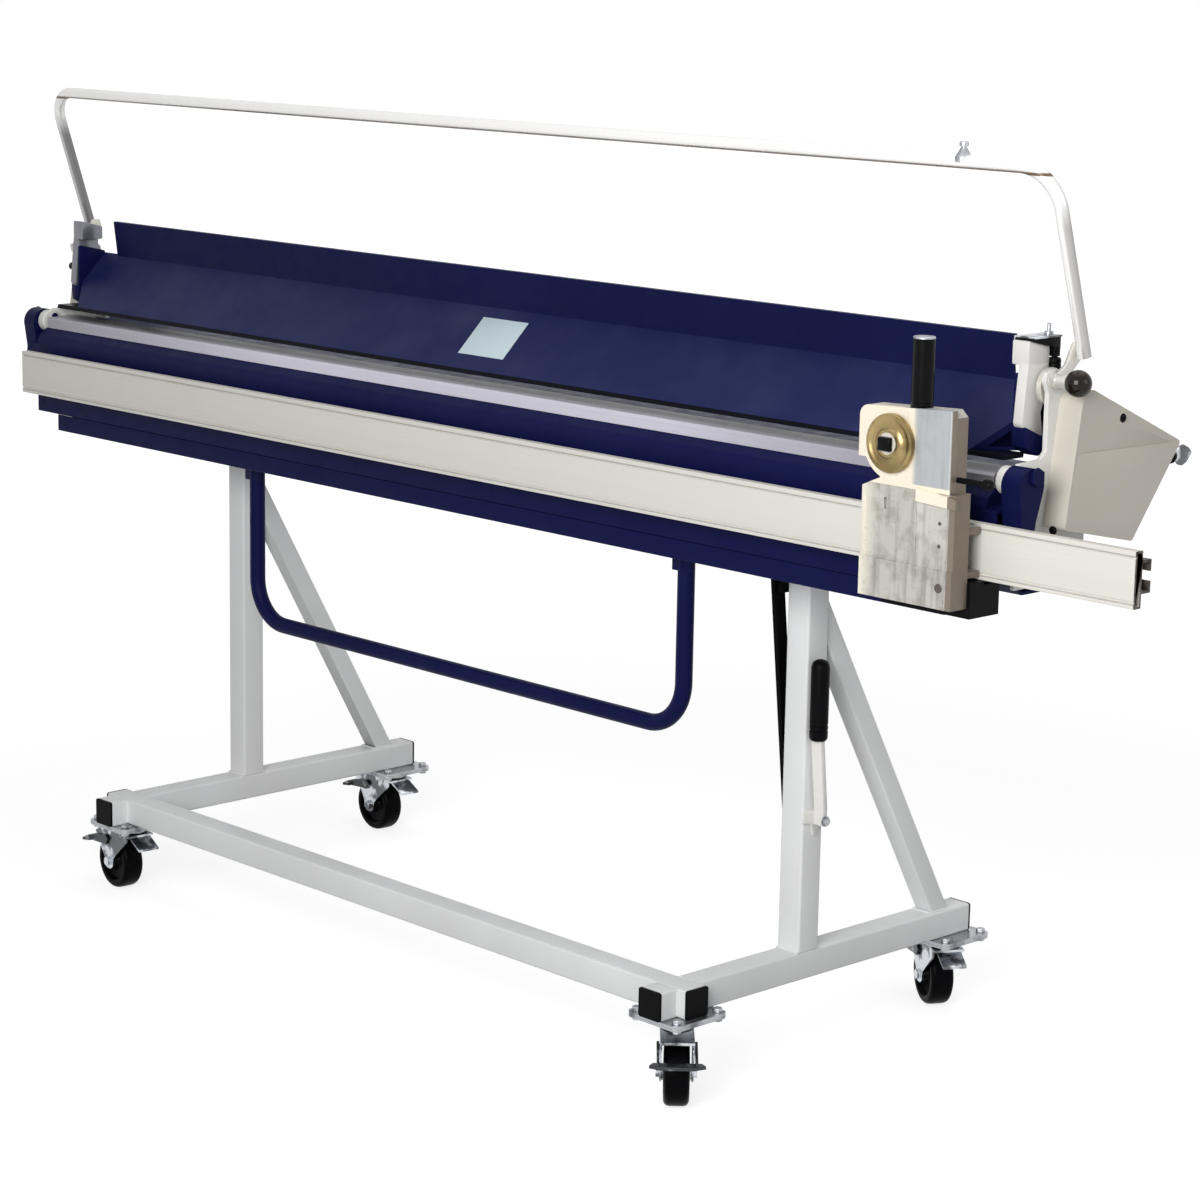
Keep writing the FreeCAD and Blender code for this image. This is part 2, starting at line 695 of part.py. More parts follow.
def cutter(parts):
    """Rolling shear: cast body, front plate with a notch at the knives, grip and lock rod."""
    left, right = CUTTER_X
    block_left, block_right = CUTTER_BLOCK_X
    front, rear = CUTTER_Y
    plate_rear = front + CUTTER_PLATE
    face = front + 2.0
    notch_corners = [
        (left - 10.0, 1006.0),
        (DISC[0], 1006.0),
        (1038.0, 980.0),
        (block_left, 966.0),
        (left - 10.0, 966.0),
    ]
    whole_depth = (front - 5.0, rear + 5.0)
    notch = prism("y", notch_corners, whole_depth).cut(rod("y", DISC, DISC_CLEAR, whole_depth))
    seat = rod("z", GRIP, GRIP_R + 1.0, (GRIP_SEAT, GRIP_TOP))
    head = [
        (left, CUTTER_SPLIT),
        (left, CUTTER_TOP_LEFT, 15.0),
        (right, CUTTER_TOP_RIGHT),
        (right, CUTTER_SPLIT),
    ]
    upper = prism("y", head, (plate_rear, rear))
    top_right = [
        e for e in upper.Edges
        if abs(e.CenterOfMass.x - right) < 0.01 and abs(e.CenterOfMass.z - CUTTER_TOP_RIGHT) < 0.01
    ]
    upper = upper.makeChamfer(11.0, top_right)
    pieces = [
        upper,
        box((block_left, block_right), (face, rear), (CUTTER_LOW, CUTTER_SPLIT)),
        box((block_left, block_right), (front, face), (CUTTER_LOW, CUTTER_FOOT)),
        box((1099.0, 1106.0), (front + 0.5, face), (CUTTER_FOOT, 956.0)),
    ]
    shoe = 9.0
    for z in (GUIDE_LOW + 4.0, GUIDE_HIGH - 4.0 - shoe):
        shoe_x = (block_left + 4.0, block_right - 4.0)
        gap_y = GUIDE_FRONT - 0.3
        pieces.append(box(shoe_x, (rear, gap_y), (z, z + shoe)))
        pieces.append(box(shoe_x, (gap_y, GUIDE_FRONT + 1.5), (z + 4.2, z + 5.0)))
    body = cut_all(fuse_all(pieces), [
        notch,
        seat,
        box((block_left + 8.0, 1094.0), (face, face + 1.0), (CUTTER_FOOT + 4.0, 950.0)),
        box((1046.0, 1052.0), (face, front + 8.0), (938.0, 954.0)),
        rod("y", DISC, 7.0 + RUNNING, whole_depth),
        rod("y", LOWER_DISC, 6.0 + RUNNING, (front + 24.0, rear)),
    ])
    parts["cutter_body"] = body
    plate = prism("y", head, (front, plate_rear))
    upright = [
        e for e in plate.Edges
        if abs(e.CenterOfMass.x - right) < 0.01 and abs(e.CenterOfMass.y - front) < 0.01
    ]
    plate = plate.makeChamfer(2.0, upright)
    lip_corners = [(1106.0, 957.0), (1106.0, 976.0), (right + 13.0, 968.0), (right + 13.0, 953.0)]
    lip = prism("y", lip_corners, (front - 3.0, face))
    below = box((1100.0, right + 14.0), (front - 1.0, face), (950.0, CUTTER_SPLIT))
    plate = cut_all(plate, [notch, seat, rod("y", DISC, 7.0 + RUNNING, whole_depth)])
    parts["cutter_cover_plate"] = plate.fuse(lip.common(below).fuse(lip)).removeSplitter()
    parts["cutter_rear_block"] = fuse_all([
        box((block_left + 13.0, block_right + 6.0), (rear, -43.0), (800.0, 845.0)),
        box((block_left + 13.0, block_right + 6.0), (rear, GUIDE_FRONT - 2.0), (845.0, 850.0)),
    ])
    parts["cutter_grip"] = rod("z", GRIP, GRIP_R, (GRIP_SEAT, GRIP_TOP))
    tip = hexagon("x", LOCK, 13.0, (LOCK_END, LOCK_END + 14.0))
    parts["cutter_lock_rod"] = rod("x", LOCK, 4.0, (right, LOCK_END)).fuse(tip)


def cutter_blades(parts):
    """Upper knife on a shaft with its hub ring and square drive, and the lower knife."""
    front = CUTTER_Y[0]
    back = KNIFE_FRONT + KNIFE_PLATE
    shaft = rod("y", DISC, 7.0, (front - 14.0, back))
    knife = rod("y", DISC, UPPER_KNIFE_R, (KNIFE_FRONT, back))
    side = 10.0
    drive_y = (front - 24.0, front - 12.0)
    x, z = DISC
    drive = box((x - side, x + side), drive_y, (z - side, z + side))
    parts["upper_knife"] = fuse_all([shaft, knife, drive])
    parts["knife_hub"] = turned("y", DISC, [
        (front - 8.0, 7.0),
        (front - 8.0, HUB_R),
        (front - 0.5, HUB_R),
        (front - 0.5, 7.0),
    ])
    meet = back + 0.1
    end = meet + KNIFE_PLATE
    low_shaft = rod("y", LOWER_DISC, 6.0, (front + 25.0, meet))
    low_knife = rod("y", LOWER_DISC, LOWER_KNIFE_R, (meet, end))
    parts["lower_knife"] = low_shaft.fuse(low_knife)


def post_lever(parts):
    y, z = LEVER_PIVOT
    span = (LEVER_X - LEVER_HALF, LEVER_X + LEVER_HALF)
    top = LEVER_STEM_TOP
    stem = prism("x", [
        (y - LEVER_HALF, z - 8.0),
        (y + LEVER_HALF, z - 8.0),
        (y + LEVER_HALF, z + 40.0),
        (y + LEVER_HALF - 11.0, top),
        (y - LEVER_HALF - 11.0, top),
        (y - LEVER_HALF, z + 40.0),
    ], span)
    head = hexagon("x", LEVER_PIVOT, BOLT_HEX, (span[1], span[1] + 5.5))
    parts["lever_stem"] = stem.fuse(head)
    parts["lever_grip"] = rod("z", (LEVER_X + 1.0, y - 11.0), 14.2, (top, LEVER_GRIP_TOP))


def caster_fork():
    """Pressed fork under the ball race, with two legs, a front wing and the axle's bolt heads."""
    inner, outer = FORK_SIDE
    tail = TRAIL + 46.0
    bridge = box((-34.0, tail), (-outer, outer), BRIDGE)
    wing = prism("y", [
        (-24.0, BRIDGE[1]),
        (-62.0, 92.0),
        (-62.0, 88.0),
        (-24.0, BRIDGE[0]),
    ], (-20.0, 20.0))
    leg = [
        (TRAIL - 62.0, BRIDGE[0]),
        (TRAIL + 32.0, BRIDGE[0]),
        (tail, 98.0),
        (TRAIL + 16.0, 58.0),
        (TRAIL + 13.0, 42.0),
        (TRAIL + 6.0, 37.0),
        (TRAIL - 6.0, 37.0),
        (TRAIL - 13.0, 42.0),
        (TRAIL - 16.0, 58.0),
        (TRAIL - 62.0, 98.0),
    ]
    axle_spot = (TRAIL, WHEEL_R)
    pieces = [bridge, wing]
    for side in (-1, 1):
        pieces.append(prism("y", leg, sorted((inner * side, outer * side))))
        pieces.append(hexagon("y", axle_spot, 15.0, sorted((outer * side, (outer + 5.5) * side))))
        collar = sorted(((WHEEL_WIDTH / 2 + 0.3) * side, inner * side))
        pieces.append(hexagon("y", axle_spot, 22.0, collar))
        spacer = sorted((outer * side, (PEDAL_SIDE[0] - 0.1) * side))
        pieces.append(hexagon("y", PEDAL_PIVOT, 10.0, spacer))
    return fuse_all(pieces)


def caster_wheel():
    """Solid tyre and hub in one, with the axle inside it."""
    half = WHEEL_WIDTH / 2
    return rod("y", (TRAIL, WHEEL_R), WHEEL_R, (-half, half))


def caster_brake():
    """Wide foot pedal on two arms outside the fork."""
    u, w = PEDAL_PIVOT
    arm = [
        (u - 9.0, w + 3.0),
        (u - 2.0, w - 9.0),
        (u + 10.0, w - 9.0),
        (u + 48.0, w - 12.0),
        (u + 60.0, w - 12.0),
        (u + 60.0, w - 6.0),
        (u + 30.0, w + 4.0),
        (u - 2.0, w + 9.0),
    ]
    pieces = [prism("y", arm, sorted((PEDAL_SIDE[0] * s, PEDAL_SIDE[1] * s))) for s in (-1, 1)]
    pieces.append(prism("z", [
        (u + 48.0, -36.0),
        (u + 60.0, -42.0),
        (u + 69.0, -24.0),
        (u + 69.0, 24.0),
        (u + 60.0, 42.0),
        (u + 48.0, 36.0),
    ], (w - 12.0, w - 7.0)))
    return fuse_all(pieces)


def casters(parts):
    makers = {"fork": caster_fork, "wheel": caster_wheel, "brake": caster_brake}
    for piece, make in makers.items():
        pattern = make()
        for corner, (x, y, turn) in CASTERS.items():
            shape = pattern.copy()
            shape.rotate(vec(0, 0, 0), vec(0, 0, 1), turn)
            shape.translate(vec(x, y, 0))
            parts[corner + "_" + piece] = shape


def build():
    parts = {}
    for step in (
        base_rails,
        tube_end_caps,
        posts_and_braces,
        plates,
        lower_beam,
        end_frames,
        covers,
        stand_fittings,
        folding_beam,
        guide_rail,
        fold_cheeks,
        u_handle,
        clamp_beam,
        clamp_arms,
        bail,
        cutter,
        cutter_blades,
        post_lever,
        casters,
    ):
        step(parts)
    return parts


def bottom_centre(parts):
    whole = FreeCAD.BoundBox()
    for shape in parts.values():
        whole.add(shape.optimalBoundingBox(False))
    return vec((whole.XMin + whole.XMax) / 2, (whole.YMin + whole.YMax) / 2, whole.ZMin)


PARTS = build()
ORIGIN = bottom_centre(PARTS)
os.makedirs("parts", exist_ok=True)
for name, shape in PARTS.items():
    moved = shape.copy()
    moved.translate(ORIGIN * -1)
    moved.exportStep("parts/" + name + ".step")
print(len(PARTS), "sub-parts, origin", ORIGIN)
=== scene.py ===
import json
import logging
import math
from dataclasses import dataclass
from enum import Enum
from functools import cached_property
from itertools import product

import bmesh
import bpy
from mathutils import Matrix, Vector


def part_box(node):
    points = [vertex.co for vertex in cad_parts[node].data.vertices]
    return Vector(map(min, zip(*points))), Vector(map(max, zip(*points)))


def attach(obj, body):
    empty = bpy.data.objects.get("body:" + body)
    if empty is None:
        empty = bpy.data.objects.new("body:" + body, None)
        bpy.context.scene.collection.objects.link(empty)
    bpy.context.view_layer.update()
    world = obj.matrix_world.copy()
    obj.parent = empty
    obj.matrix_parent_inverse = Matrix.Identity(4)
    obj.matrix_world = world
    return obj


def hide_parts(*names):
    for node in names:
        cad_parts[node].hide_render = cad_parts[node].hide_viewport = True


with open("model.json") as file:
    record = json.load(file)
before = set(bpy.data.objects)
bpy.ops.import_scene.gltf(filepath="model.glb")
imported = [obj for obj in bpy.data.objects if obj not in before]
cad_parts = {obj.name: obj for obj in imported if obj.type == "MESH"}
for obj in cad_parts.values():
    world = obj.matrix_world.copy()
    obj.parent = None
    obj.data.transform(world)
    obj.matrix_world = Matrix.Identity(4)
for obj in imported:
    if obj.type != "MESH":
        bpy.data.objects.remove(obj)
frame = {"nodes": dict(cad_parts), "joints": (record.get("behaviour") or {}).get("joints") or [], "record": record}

LOG = logging.getLogger("folding_machine")
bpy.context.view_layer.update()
MM = 0.001
WELD_GAP = 2e-6
FLAT_ANGLE = math.radians(0.6)
CORNER_ANGLE = math.radians(20)
OUTLINE_ANGLE = math.radians(25)
SMOOTH_ANGLE = math.radians(32)
EASED_ANGLE = math.radians(40)
IMAGE_SIDE = 1200

Point = tuple[float, float, float]
Pair = tuple[float, float]
Profile = list[Pair]
Colour = tuple[float, float, float, float]
Material = bpy.types.Material
Socket = bpy.types.NodeSocket
Mesh = bmesh.types.BMesh
Piece = bpy.types.Object


class Axis(Enum):
    """Directions of the machine: X along the fold line, Y to the rear, Z up."""

    X = (1.0, 0.0, 0.0)
    Y = (0.0, 1.0, 0.0)
    Z = (0.0, 0.0, 1.0)


class Side(Enum):
    """The two ends of the machine."""

    LEFT = -1
    RIGHT = 1

    @property
    def tag(self) -> str:
        """The end's name as it stands in names of pieces."""
        return self.name.lower()

    def places(self, span: Pair) -> Pair:
        """A span counted outwards, as places along the machine."""
        return self.value * span[0], self.value * span[1]

    def turned(self, profile: Profile) -> Profile:
        """A lathe profile counted outwards, as places along the machine."""
        return [(along * self.value, radius) for along, radius in profile]


def fold_line_origin() -> Vector:
    """Middle of the fold line above the floor, read from the frame.

    Returns:
        Where the machine's own zero lies in the row frame.
    """
    beam_low, beam_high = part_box("lower_beam")
    jaw_low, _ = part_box("lower_jaw")
    edge_gap = 0.5 * MM
    return Vector(((beam_low.x + beam_high.x) / 2, jaw_low.y - edge_gap, 0.0))


ZERO = fold_line_origin()
RECORD = frame["record"]
BODIES = {node: body for body, nodes in RECORD["behaviour"]["bodies"].items() for node in nodes}
SLOTS = {row["node"]: row["material_slot"] for row in RECORD["subparts"]}
MATERIALS: dict[str, Material] = {}


def at(x: float, y: float, z: float) -> Vector:
    """Place in the row frame, in metres, of a point in the machine's millimetres."""
    return ZERO + Vector((x, y, z)) * MM


def shade(red: int, green: int, blue: int) -> Colour:
    """Colour as seen on a screen, turned to the renderer's linear values.

    Args:
        red: Red from 0 to 255.
        green: Green from 0 to 255.
        blue: Blue from 0 to 255.

    Returns:
        Linear red, green, blue and an alpha of 1.
    """
    parts = (value / 255 for value in (red, green, blue))
    linear = (part / 12.92 if part <= 0.04045 else ((part + 0.055) / 1.055) ** 2.4 for part in parts)
    return (*linear, 1.0)


def darker(colour: Colour, share: float) -> Colour:
    """The colour times a share, with its alpha kept."""
    return (colour[0] * share, colour[1] * share, colour[2] * share, colour[3])


class NodeTree:
    """Node tree of a material or of the world, filled in step by step."""

    def __init__(self, owner: bpy.types.ID, output: str) -> None:
        """Empties the owner's tree and gives it an output.

        Args:
            owner: The material or world.
            output: Type name of the output node.
        """
        owner.use_nodes = True
        self.tree = owner.node_tree
        self.tree.nodes.clear()
        self.output = self.add(output).inputs["Surface"]

    def fill(self, socket: Socket, value: object) -> None:
        """Links a socket to an input, or writes a plain value into it."""
        if isinstance(value, bpy.types.NodeSocket):
            self.tree.links.new(value, socket)
        else:
            socket.default_value = value

    def add(self, kind: str, *ordered: object, **named: object) -> bpy.types.Node:
        """Adds a node and fills its inputs.

        Args:
            kind: Type name of the node after "ShaderNode".
            ordered: What its first inputs get.
            named: What other inputs get, by name with underscores for spaces.

        Returns:
            The new node.
        """
        node = self.tree.nodes.new("ShaderNode" + kind)
        for socket, value in zip(node.inputs, ordered):
            self.fill(socket, value)
        for name, value in named.items():
            self.fill(node.inputs[name.replace("_", " ")], value)
        return node

    def ranged(self, value: Socket, source: Pair, target: Pair) -> Socket:
        """Value moved from the source range to the target range and held inside it."""
        return self.add("MapRange", value, *source, *target).outputs["Result"]

    def maths(self, operation: str, *values: object) -> Socket:
        """One step of arithmetic on sockets or plain numbers."""
        node = self.add("Math", *values)
        node.operation = operation
        return node.outputs[0]

    def either(self, first: object, second: object) -> Socket:
        """The larger of two amounts."""
        return self.maths("MAXIMUM", first, second)

    def product(self, first: object, second: object) -> Socket:
        """Two amounts multiplied."""
        return self.maths("MULTIPLY", first, second)

    def length(self, vector: Socket) -> Socket:
        """Length of a vector."""
        node = self.add("VectorMath", vector)
        node.operation = "LENGTH"
        return node.outputs["Value"]


class NodeSheet(NodeTree):
    """A material's node tree with one principled shader and object coordinates."""

    def __init__(self, name: str) -> None:
        """Starts a new material's tree."""
        self.material = bpy.data.materials.new(name)
        super().__init__(self.material, "OutputMaterial")
        self.shader = self.add("BsdfPrincipled")
        self.fill(self.output, self.shader.outputs["BSDF"])
        self.coordinates = self.add("TexCoord").outputs["Object"]

    @cached_property
    def parts(self) -> dict[Axis, Socket]:
        """The object coordinates along each axis."""
        return dict(zip(Axis, self.add("SeparateXYZ", self.coordinates).outputs))

    def surface(self, **values: object) -> None:
        """Fills inputs of the shader, named with underscores for spaces."""
        for name, value in values.items():
            self.fill(self.shader.inputs[name.replace("_", " ")], value)

    def stretched(self, scale: Point, centre: Vector = Vector()) -> Socket:
        """Object coordinates moved to a centre and stretched.

        Args:
            scale: How much finer the pattern runs along each axis.
            centre: Place that becomes the pattern's middle.

        Returns:
            The vector socket.
        """
        shift = [-c * s for c, s in zip(centre, scale)]
        mapping = self.add("Mapping", Vector=self.coordinates, Scale=scale, Location=shift)
        return mapping.outputs["Vector"]

    def noise(self, scale: float, detail: float, vector: Socket | None = None) -> Socket:
        """Cloudy pattern: patches per metre, finer layers and where it is read."""
        place = self.coordinates if vector is None else vector
        return self.add("TexNoise", Scale=scale, Detail=detail, Vector=place).outputs[0]

    def beyond(self, axis: Axis, start: float, soft: float, level: float = 1.0) -> Socket:
        """Amount that rises to a level past a place, over a soft width in millimetres."""
        low = ZERO.dot(Vector(axis.value)) + start * MM
        return self.ranged(self.parts[axis], (low, low + soft * MM), (0.0, level))

    def before(self, axis: Axis, start: float, soft: float, level: float = 1.0) -> Socket:
        """Amount that falls from a level past a place, over a soft width in millimetres."""
        low = ZERO.dot(Vector(axis.value)) + start * MM
        return self.ranged(self.parts[axis], (low, low + soft * MM), (level, 0.0))

    def gloss(self, pattern: Socket, roughness: float, rough: float, shiny: float,
              source: Pair = (0.3, 0.7)) -> Socket:
        """Roughness that a pattern moves between a rough and a shiny share of its level."""
        return self.ranged(pattern, source, (roughness * rough, roughness * shiny))

    def blend(self, amount: Socket, first: object, second: object) -> Socket:
        """Mixes two colours by a pattern.

        Args:
            amount: Share of the second colour.
            first: A colour or a colour socket.
            second: A colour or a colour socket.

        Returns:
            The colour socket.
        """
        node = self.tree.nodes.new("ShaderNodeMix")
        node.data_type = "RGBA"
        for place, value in ((0, amount), (6, first), (7, second)):
            self.fill(node.inputs[place], value)
        return node.outputs[2]

    def bump(self, height: Socket, depth: float, strength: float) -> None:
        """Relief of a depth in metres, of which a share shows."""
        node = self.add("Bump", Height=height, Distance=depth, Strength=strength)
        self.surface(Normal=node.outputs["Normal"])


@dataclass(frozen=True)
class Finish:
    """A surface finish, whose material is made once and shared."""

    name: str
    colour: Colour
    roughness: float

    def dress(self, sheet: NodeSheet) -> None:
        """Fills in the material's nodes."""
        raise NotImplementedError

    def material(self) -> Material:
        """The material, made when it is first asked for."""
        if self.name not in MATERIALS:
            sheet = NodeSheet(self.name)
            self.dress(sheet)
            MATERIALS[self.name] = sheet.material
        return MATERIALS[self.name]


@dataclass(frozen=True)
class Enamel(Finish):
    """Sprayed or powder-coated paint with an orange-peel skin and faint dust."""

    coat: float
    dust: Colour
    dust_share: float
    specular: float = 0.3

    def dress(self, sheet: NodeSheet) -> None:
        """Fills in the material's nodes."""
        patch = sheet.ranged(sheet.noise(7.0, 6.0), (0.42, 0.72), (0.0, self.dust_share))
        tone = sheet.ranged(sheet.noise(2.2, 3.0), (0.3, 0.7), (0.0, 1.0))
        body = sheet.blend(tone, self.colour, darker(self.colour, 0.86))
        gloss = sheet.gloss(sheet.noise(38.0, 8.0), self.roughness, 0.85, 1.2)
        sheet.surface(Base_Color=sheet.blend(patch, body, self.dust), Roughness=gloss,
                      Coat_Weight=self.coat, Coat_Roughness=0.18, Specular_IOR_Level=self.specular)
        sheet.bump(sheet.noise(420.0, 2.0), 0.00012, 0.35)


@dataclass(frozen=True)
class GrainedMetal(Finish):
    """Drawn, ground or brushed metal with fine streaks along one axis."""

    grain: Axis
    metallic: float = 1.0
    streak: float = 0.25
    stain: float = 0.25

    def layers(self, sheet: NodeSheet) -> tuple[Socket, Socket, Socket]:
        """Adds the metal's streaks and stains to a sheet.

        Args:
            sheet: Where the nodes go.

        Returns:
            Colour, roughness and the fine lines.
        """
        scale = tuple(1.5 if part else 260.0 for part in self.grain.value)
        lines = sheet.noise(4.0, 5.0, sheet.stretched(scale))
        wide = tuple(0.6 if part else 40.0 for part in self.grain.value)
        bands = sheet.noise(2.0, 3.0, sheet.stretched(wide))
        amount = sheet.ranged(lines, (0.3, 0.7), (0.0, self.streak))
        streaked = sheet.blend(amount, self.colour, darker(self.colour, 0.55))
        tone = sheet.ranged(bands, (0.35, 0.65), (0.0, self.stain))
        toned = sheet.blend(tone, streaked, darker(self.colour, 0.75))
        stain = sheet.ranged(sheet.noise(9.0, 5.0), (0.55, 0.8), (0.0, self.stain))
        stained = sheet.blend(stain, toned, darker(self.colour, 0.6))
        return stained, sheet.gloss(lines, self.roughness, 0.75, 1.3), lines

    def dress(self, sheet: NodeSheet) -> None:
        """Fills in the material's nodes."""
        stained, gloss, lines = self.layers(sheet)
        sheet.surface(Base_Color=stained, Roughness=gloss, Metallic=self.metallic)
        sheet.bump(lines, 0.00008, 0.4)


@dataclass(frozen=True)
class EdgeStrip(GrainedMetal):
    """Ground strip, darker towards both of its ends."""

    left: Pair = (-1100.0, 650.0)
    right: Pair = (500.0, 500.0)
    oil: float = 0.7

    def layers(self, sheet: NodeSheet) -> tuple[Socket, Socket, Socket]:
        """Adds the darker ends to the metal's streaks and stains.

        Args:
            sheet: Where the nodes go.

        Returns:
            Colour, roughness and the fine lines.
        """
        stained, gloss, lines = super().layers(sheet)
        darker_ends = sheet.either(sheet.before(Axis.X, *self.left, self.oil),
                             sheet.beyond(Axis.X, *self.right, self.oil))
        return sheet.blend(darker_ends, stained, darker(self.colour, 0.3)), gloss, lines


@dataclass(frozen=True)
class RailFinish(GrainedMetal):
    """Drawn aluminium with a dark end face and brown groove lines, both painted shade, and dark rear hooks."""

    dark: Colour = shade(52, 42, 36)
    end: float = 1426.0
    back: float = -59.8
    grooves: Pair = (856.0, 919.8)
    groove_half: float = 1.3

    def dress(self, sheet: NodeSheet) -> None:
        """Fills in the material's nodes."""
        stained, gloss, lines = self.layers(sheet)
        # Painted shade: the end face and the two groove lines are darkened; the rear hooks are darkened as well.
        amount = sheet.either(sheet.beyond(Axis.X, self.end, 0.8), sheet.beyond(Axis.Y, self.back, 0.5))
        reach, soft = self.groove_half, self.groove_half * 0.4
        for height in self.grooves:
            above = sheet.beyond(Axis.Z, height - reach, soft)
            below = sheet.before(Axis.Z, height + reach - soft, soft)
            amount = sheet.either(amount, sheet.product(sheet.product(above, below), 0.45))
        uneven_share = sheet.ranged(sheet.noise(60.0, 5.0), (0.35, 0.7), (1.0, 0.75))
        shown = sheet.product(amount, uneven_share)
        sheet.surface(Base_Color=sheet.blend(shown, stained, self.dark), Roughness=gloss,
                      Metallic=self.metallic, Specular_IOR_Level=0.2)
        sheet.bump(lines, 0.00008, 0.4)


@dataclass(frozen=True)
class CastMetal(Finish):
    """Cast face, pale and smooth on its left and mottled grey with runs on its right."""

    dull: Colour
    stain: Colour
    edge: Colour
    split: Pair
    soft: float
    mottle: float
    side: float = 1162.0

    def dress(self, sheet: NodeSheet) -> None:
        """Fills in the material's nodes."""
        across, high = self.split
        right = sheet.beyond(Axis.X, across - self.soft, 2 * self.soft)
        if high:
            right = sheet.product(right, sheet.beyond(Axis.Z, high, 1.0))
        cloud = sheet.noise(46.0, 9.0)
        patches = sheet.ranged(cloud, (0.48, 0.66), (0.0, self.mottle))
        mottled = sheet.blend(patches, self.dull, self.stain)
        runs = sheet.noise(2.0, 7.0, sheet.stretched((60.0, 60.0, 5.0)))
        run = sheet.ranged(runs, (0.5, 0.72), (0.0, self.mottle))
        streaked = sheet.blend(run, mottled, darker(self.stain, 0.75))
        both = sheet.blend(right, self.colour, streaked)
        pits = sheet.noise(210.0, 4.0)
        pit = sheet.ranged(pits, (0.62, 0.74), (0.0, self.mottle * 0.8))
        pitted = sheet.blend(pit, both, darker(self.stain, 0.5))
        flank = sheet.beyond(Axis.X, self.side, 0.6)
        gloss = sheet.gloss(cloud, self.roughness, 1.0, 1.4, (0.35, 0.65))
        sheet.surface(Base_Color=sheet.blend(flank, pitted, self.edge), Roughness=gloss,
                      Metallic=0.45, Specular_IOR_Level=0.3)
        sheet.bump(pits, 0.0003, 0.3)


@dataclass(frozen=True)
class BailFinish(Finish):
    """Pale bright tube with a painted brown reflection line under its bar, painted shade on the lower left leg and
    a painted shaded flank on each leg.
    """

    line: Colour
    left: Colour
    flank: Colour
    bar: float
    leg: float

    def dress(self, sheet: NodeSheet) -> None:
        """Fills in the material's nodes."""
        # Painted reflection: a brown line along the underside of the bar.
        under = sheet.before(Axis.Z, self.bar - 8.0, 2.0)
        on_bar = sheet.beyond(Axis.Z, self.bar - 12.0, 1.0)
        on_leg = sheet.before(Axis.Z, self.bar - 80.0, 40.0)
        cloud = sheet.noise(6.0, 2.0)
        dust = sheet.ranged(cloud, (0.4, 0.7), (0.0, 0.3))
        dusted = sheet.blend(dust, self.colour, darker(self.colour, 0.9))
        # Painted shade: the lower part of the left leg is greyer and the right side of each leg darker.
        far = sheet.before(Axis.X, 0.0, 1.0)
        toned = sheet.blend(sheet.product(far, on_leg), dusted, self.left)
        for middle, share in ((-self.leg, 0.75), (self.leg, 0.5)):
            inner = sheet.beyond(Axis.X, middle + 3.0, 3.0)
            outer = sheet.before(Axis.X, middle + 10.5, 0.5)
            stripe = sheet.product(sheet.product(inner, outer), on_leg)
            toned = sheet.blend(sheet.product(stripe, share), toned, self.flank)
        lined = sheet.blend(sheet.product(under, on_bar), toned, self.line)
        gloss = sheet.ranged(cloud, (0.35, 0.65), (0.22, self.roughness))
        sheet.surface(Base_Color=lined, Roughness=gloss, Metallic=0.3, Specular_IOR_Level=0.3)


@dataclass(frozen=True)
class TurnedMetal(Finish):
    """Lathe-turned face with fine rings about an axis."""

    shadow: Colour
    centre: Pair
    ring_pitch: float = 0.0009

    def dress(self, sheet: NodeSheet) -> None:
        """Fills in the material's nodes."""
        place = sheet.stretched((1.0, 0.0, 1.0), at(self.centre[0], 0.0, self.centre[1]))
        ring = sheet.maths("SINE", sheet.maths(
            "MULTIPLY_ADD", sheet.length(place), math.tau / self.ring_pitch, sheet.noise(60.0, 3.0)))
        # Dark patches in the shadow colour: tarnish, together with painted shade on the dished face.
        tarnish_and_shade = sheet.noise(24.0, 7.0)
        amount = sheet.ranged(tarnish_and_shade, (0.42, 0.7), (0.0, 0.8))
        ringed = sheet.blend(sheet.ranged(ring, (-1.0, 1.0), (0.0, 0.25)), self.colour,
                             darker(self.colour, 0.6))
        sheet.surface(Base_Color=sheet.blend(amount, ringed, self.shadow), Metallic=1.0,
                      Roughness=sheet.gloss(tarnish_and_shade, self.roughness, 0.8, 1.4))
        sheet.bump(ring, 0.00005, 0.3)


@dataclass(frozen=True)
class SpangledZinc(Finish):
    """Zinc plate with a cloudy spangle, dark patches and a bright or dull shine."""

    dark: Colour
    patch: Pair

    def dress(self, sheet: NodeSheet) -> None:
        """Fills in the material's nodes."""
        cells = sheet.add("TexVoronoi", Scale=260.0, Vector=sheet.coordinates)
        spangle = sheet.ranged(cells.outputs["Distance"], (0.0, 0.7), (0.0, 0.3))
        cloud = sheet.noise(30.0, 6.0)
        body = sheet.blend(spangle, self.colour, darker(self.colour, 0.7))
        # Dark patches: painted reflection of dark surroundings on the bright zinc, grime on the dull zinc, and an
        # overall darkening of the pedals.
        reflection_and_grime = sheet.blend(sheet.ranged(cloud, self.patch, (0.0, 0.8)), body, self.dark)
        sheet.surface(Base_Color=reflection_and_grime, Roughness=sheet.gloss(cloud, self.roughness, 0.7, 1.4),
                      Metallic=1.0)
        sheet.bump(sheet.noise(300.0, 3.0), 0.00008, 0.3)


@dataclass(frozen=True)
class Moulding(Finish):
    """Moulded plastic or rubber with a fine grain and scuffs."""

    scuff: Colour
    grain_scale: float
    grain_depth: float
    scuff_share: float
    specular: float

    def dress(self, sheet: NodeSheet) -> None:
        """Fills in the material's nodes."""
        cloud = sheet.noise(55.0, 8.0)
        amount = sheet.ranged(cloud, (0.5, 0.75), (0.0, self.scuff_share))
        sheet.surface(Base_Color=sheet.blend(amount, self.colour, self.scuff),
                      Roughness=sheet.gloss(cloud, self.roughness, 0.85, 1.25),
                      Specular_IOR_Level=self.specular)
        sheet.bump(sheet.noise(self.grain_scale, 3.0), self.grain_depth, 0.4)


CUTTER_DISC = (1059.0, 1030.0)

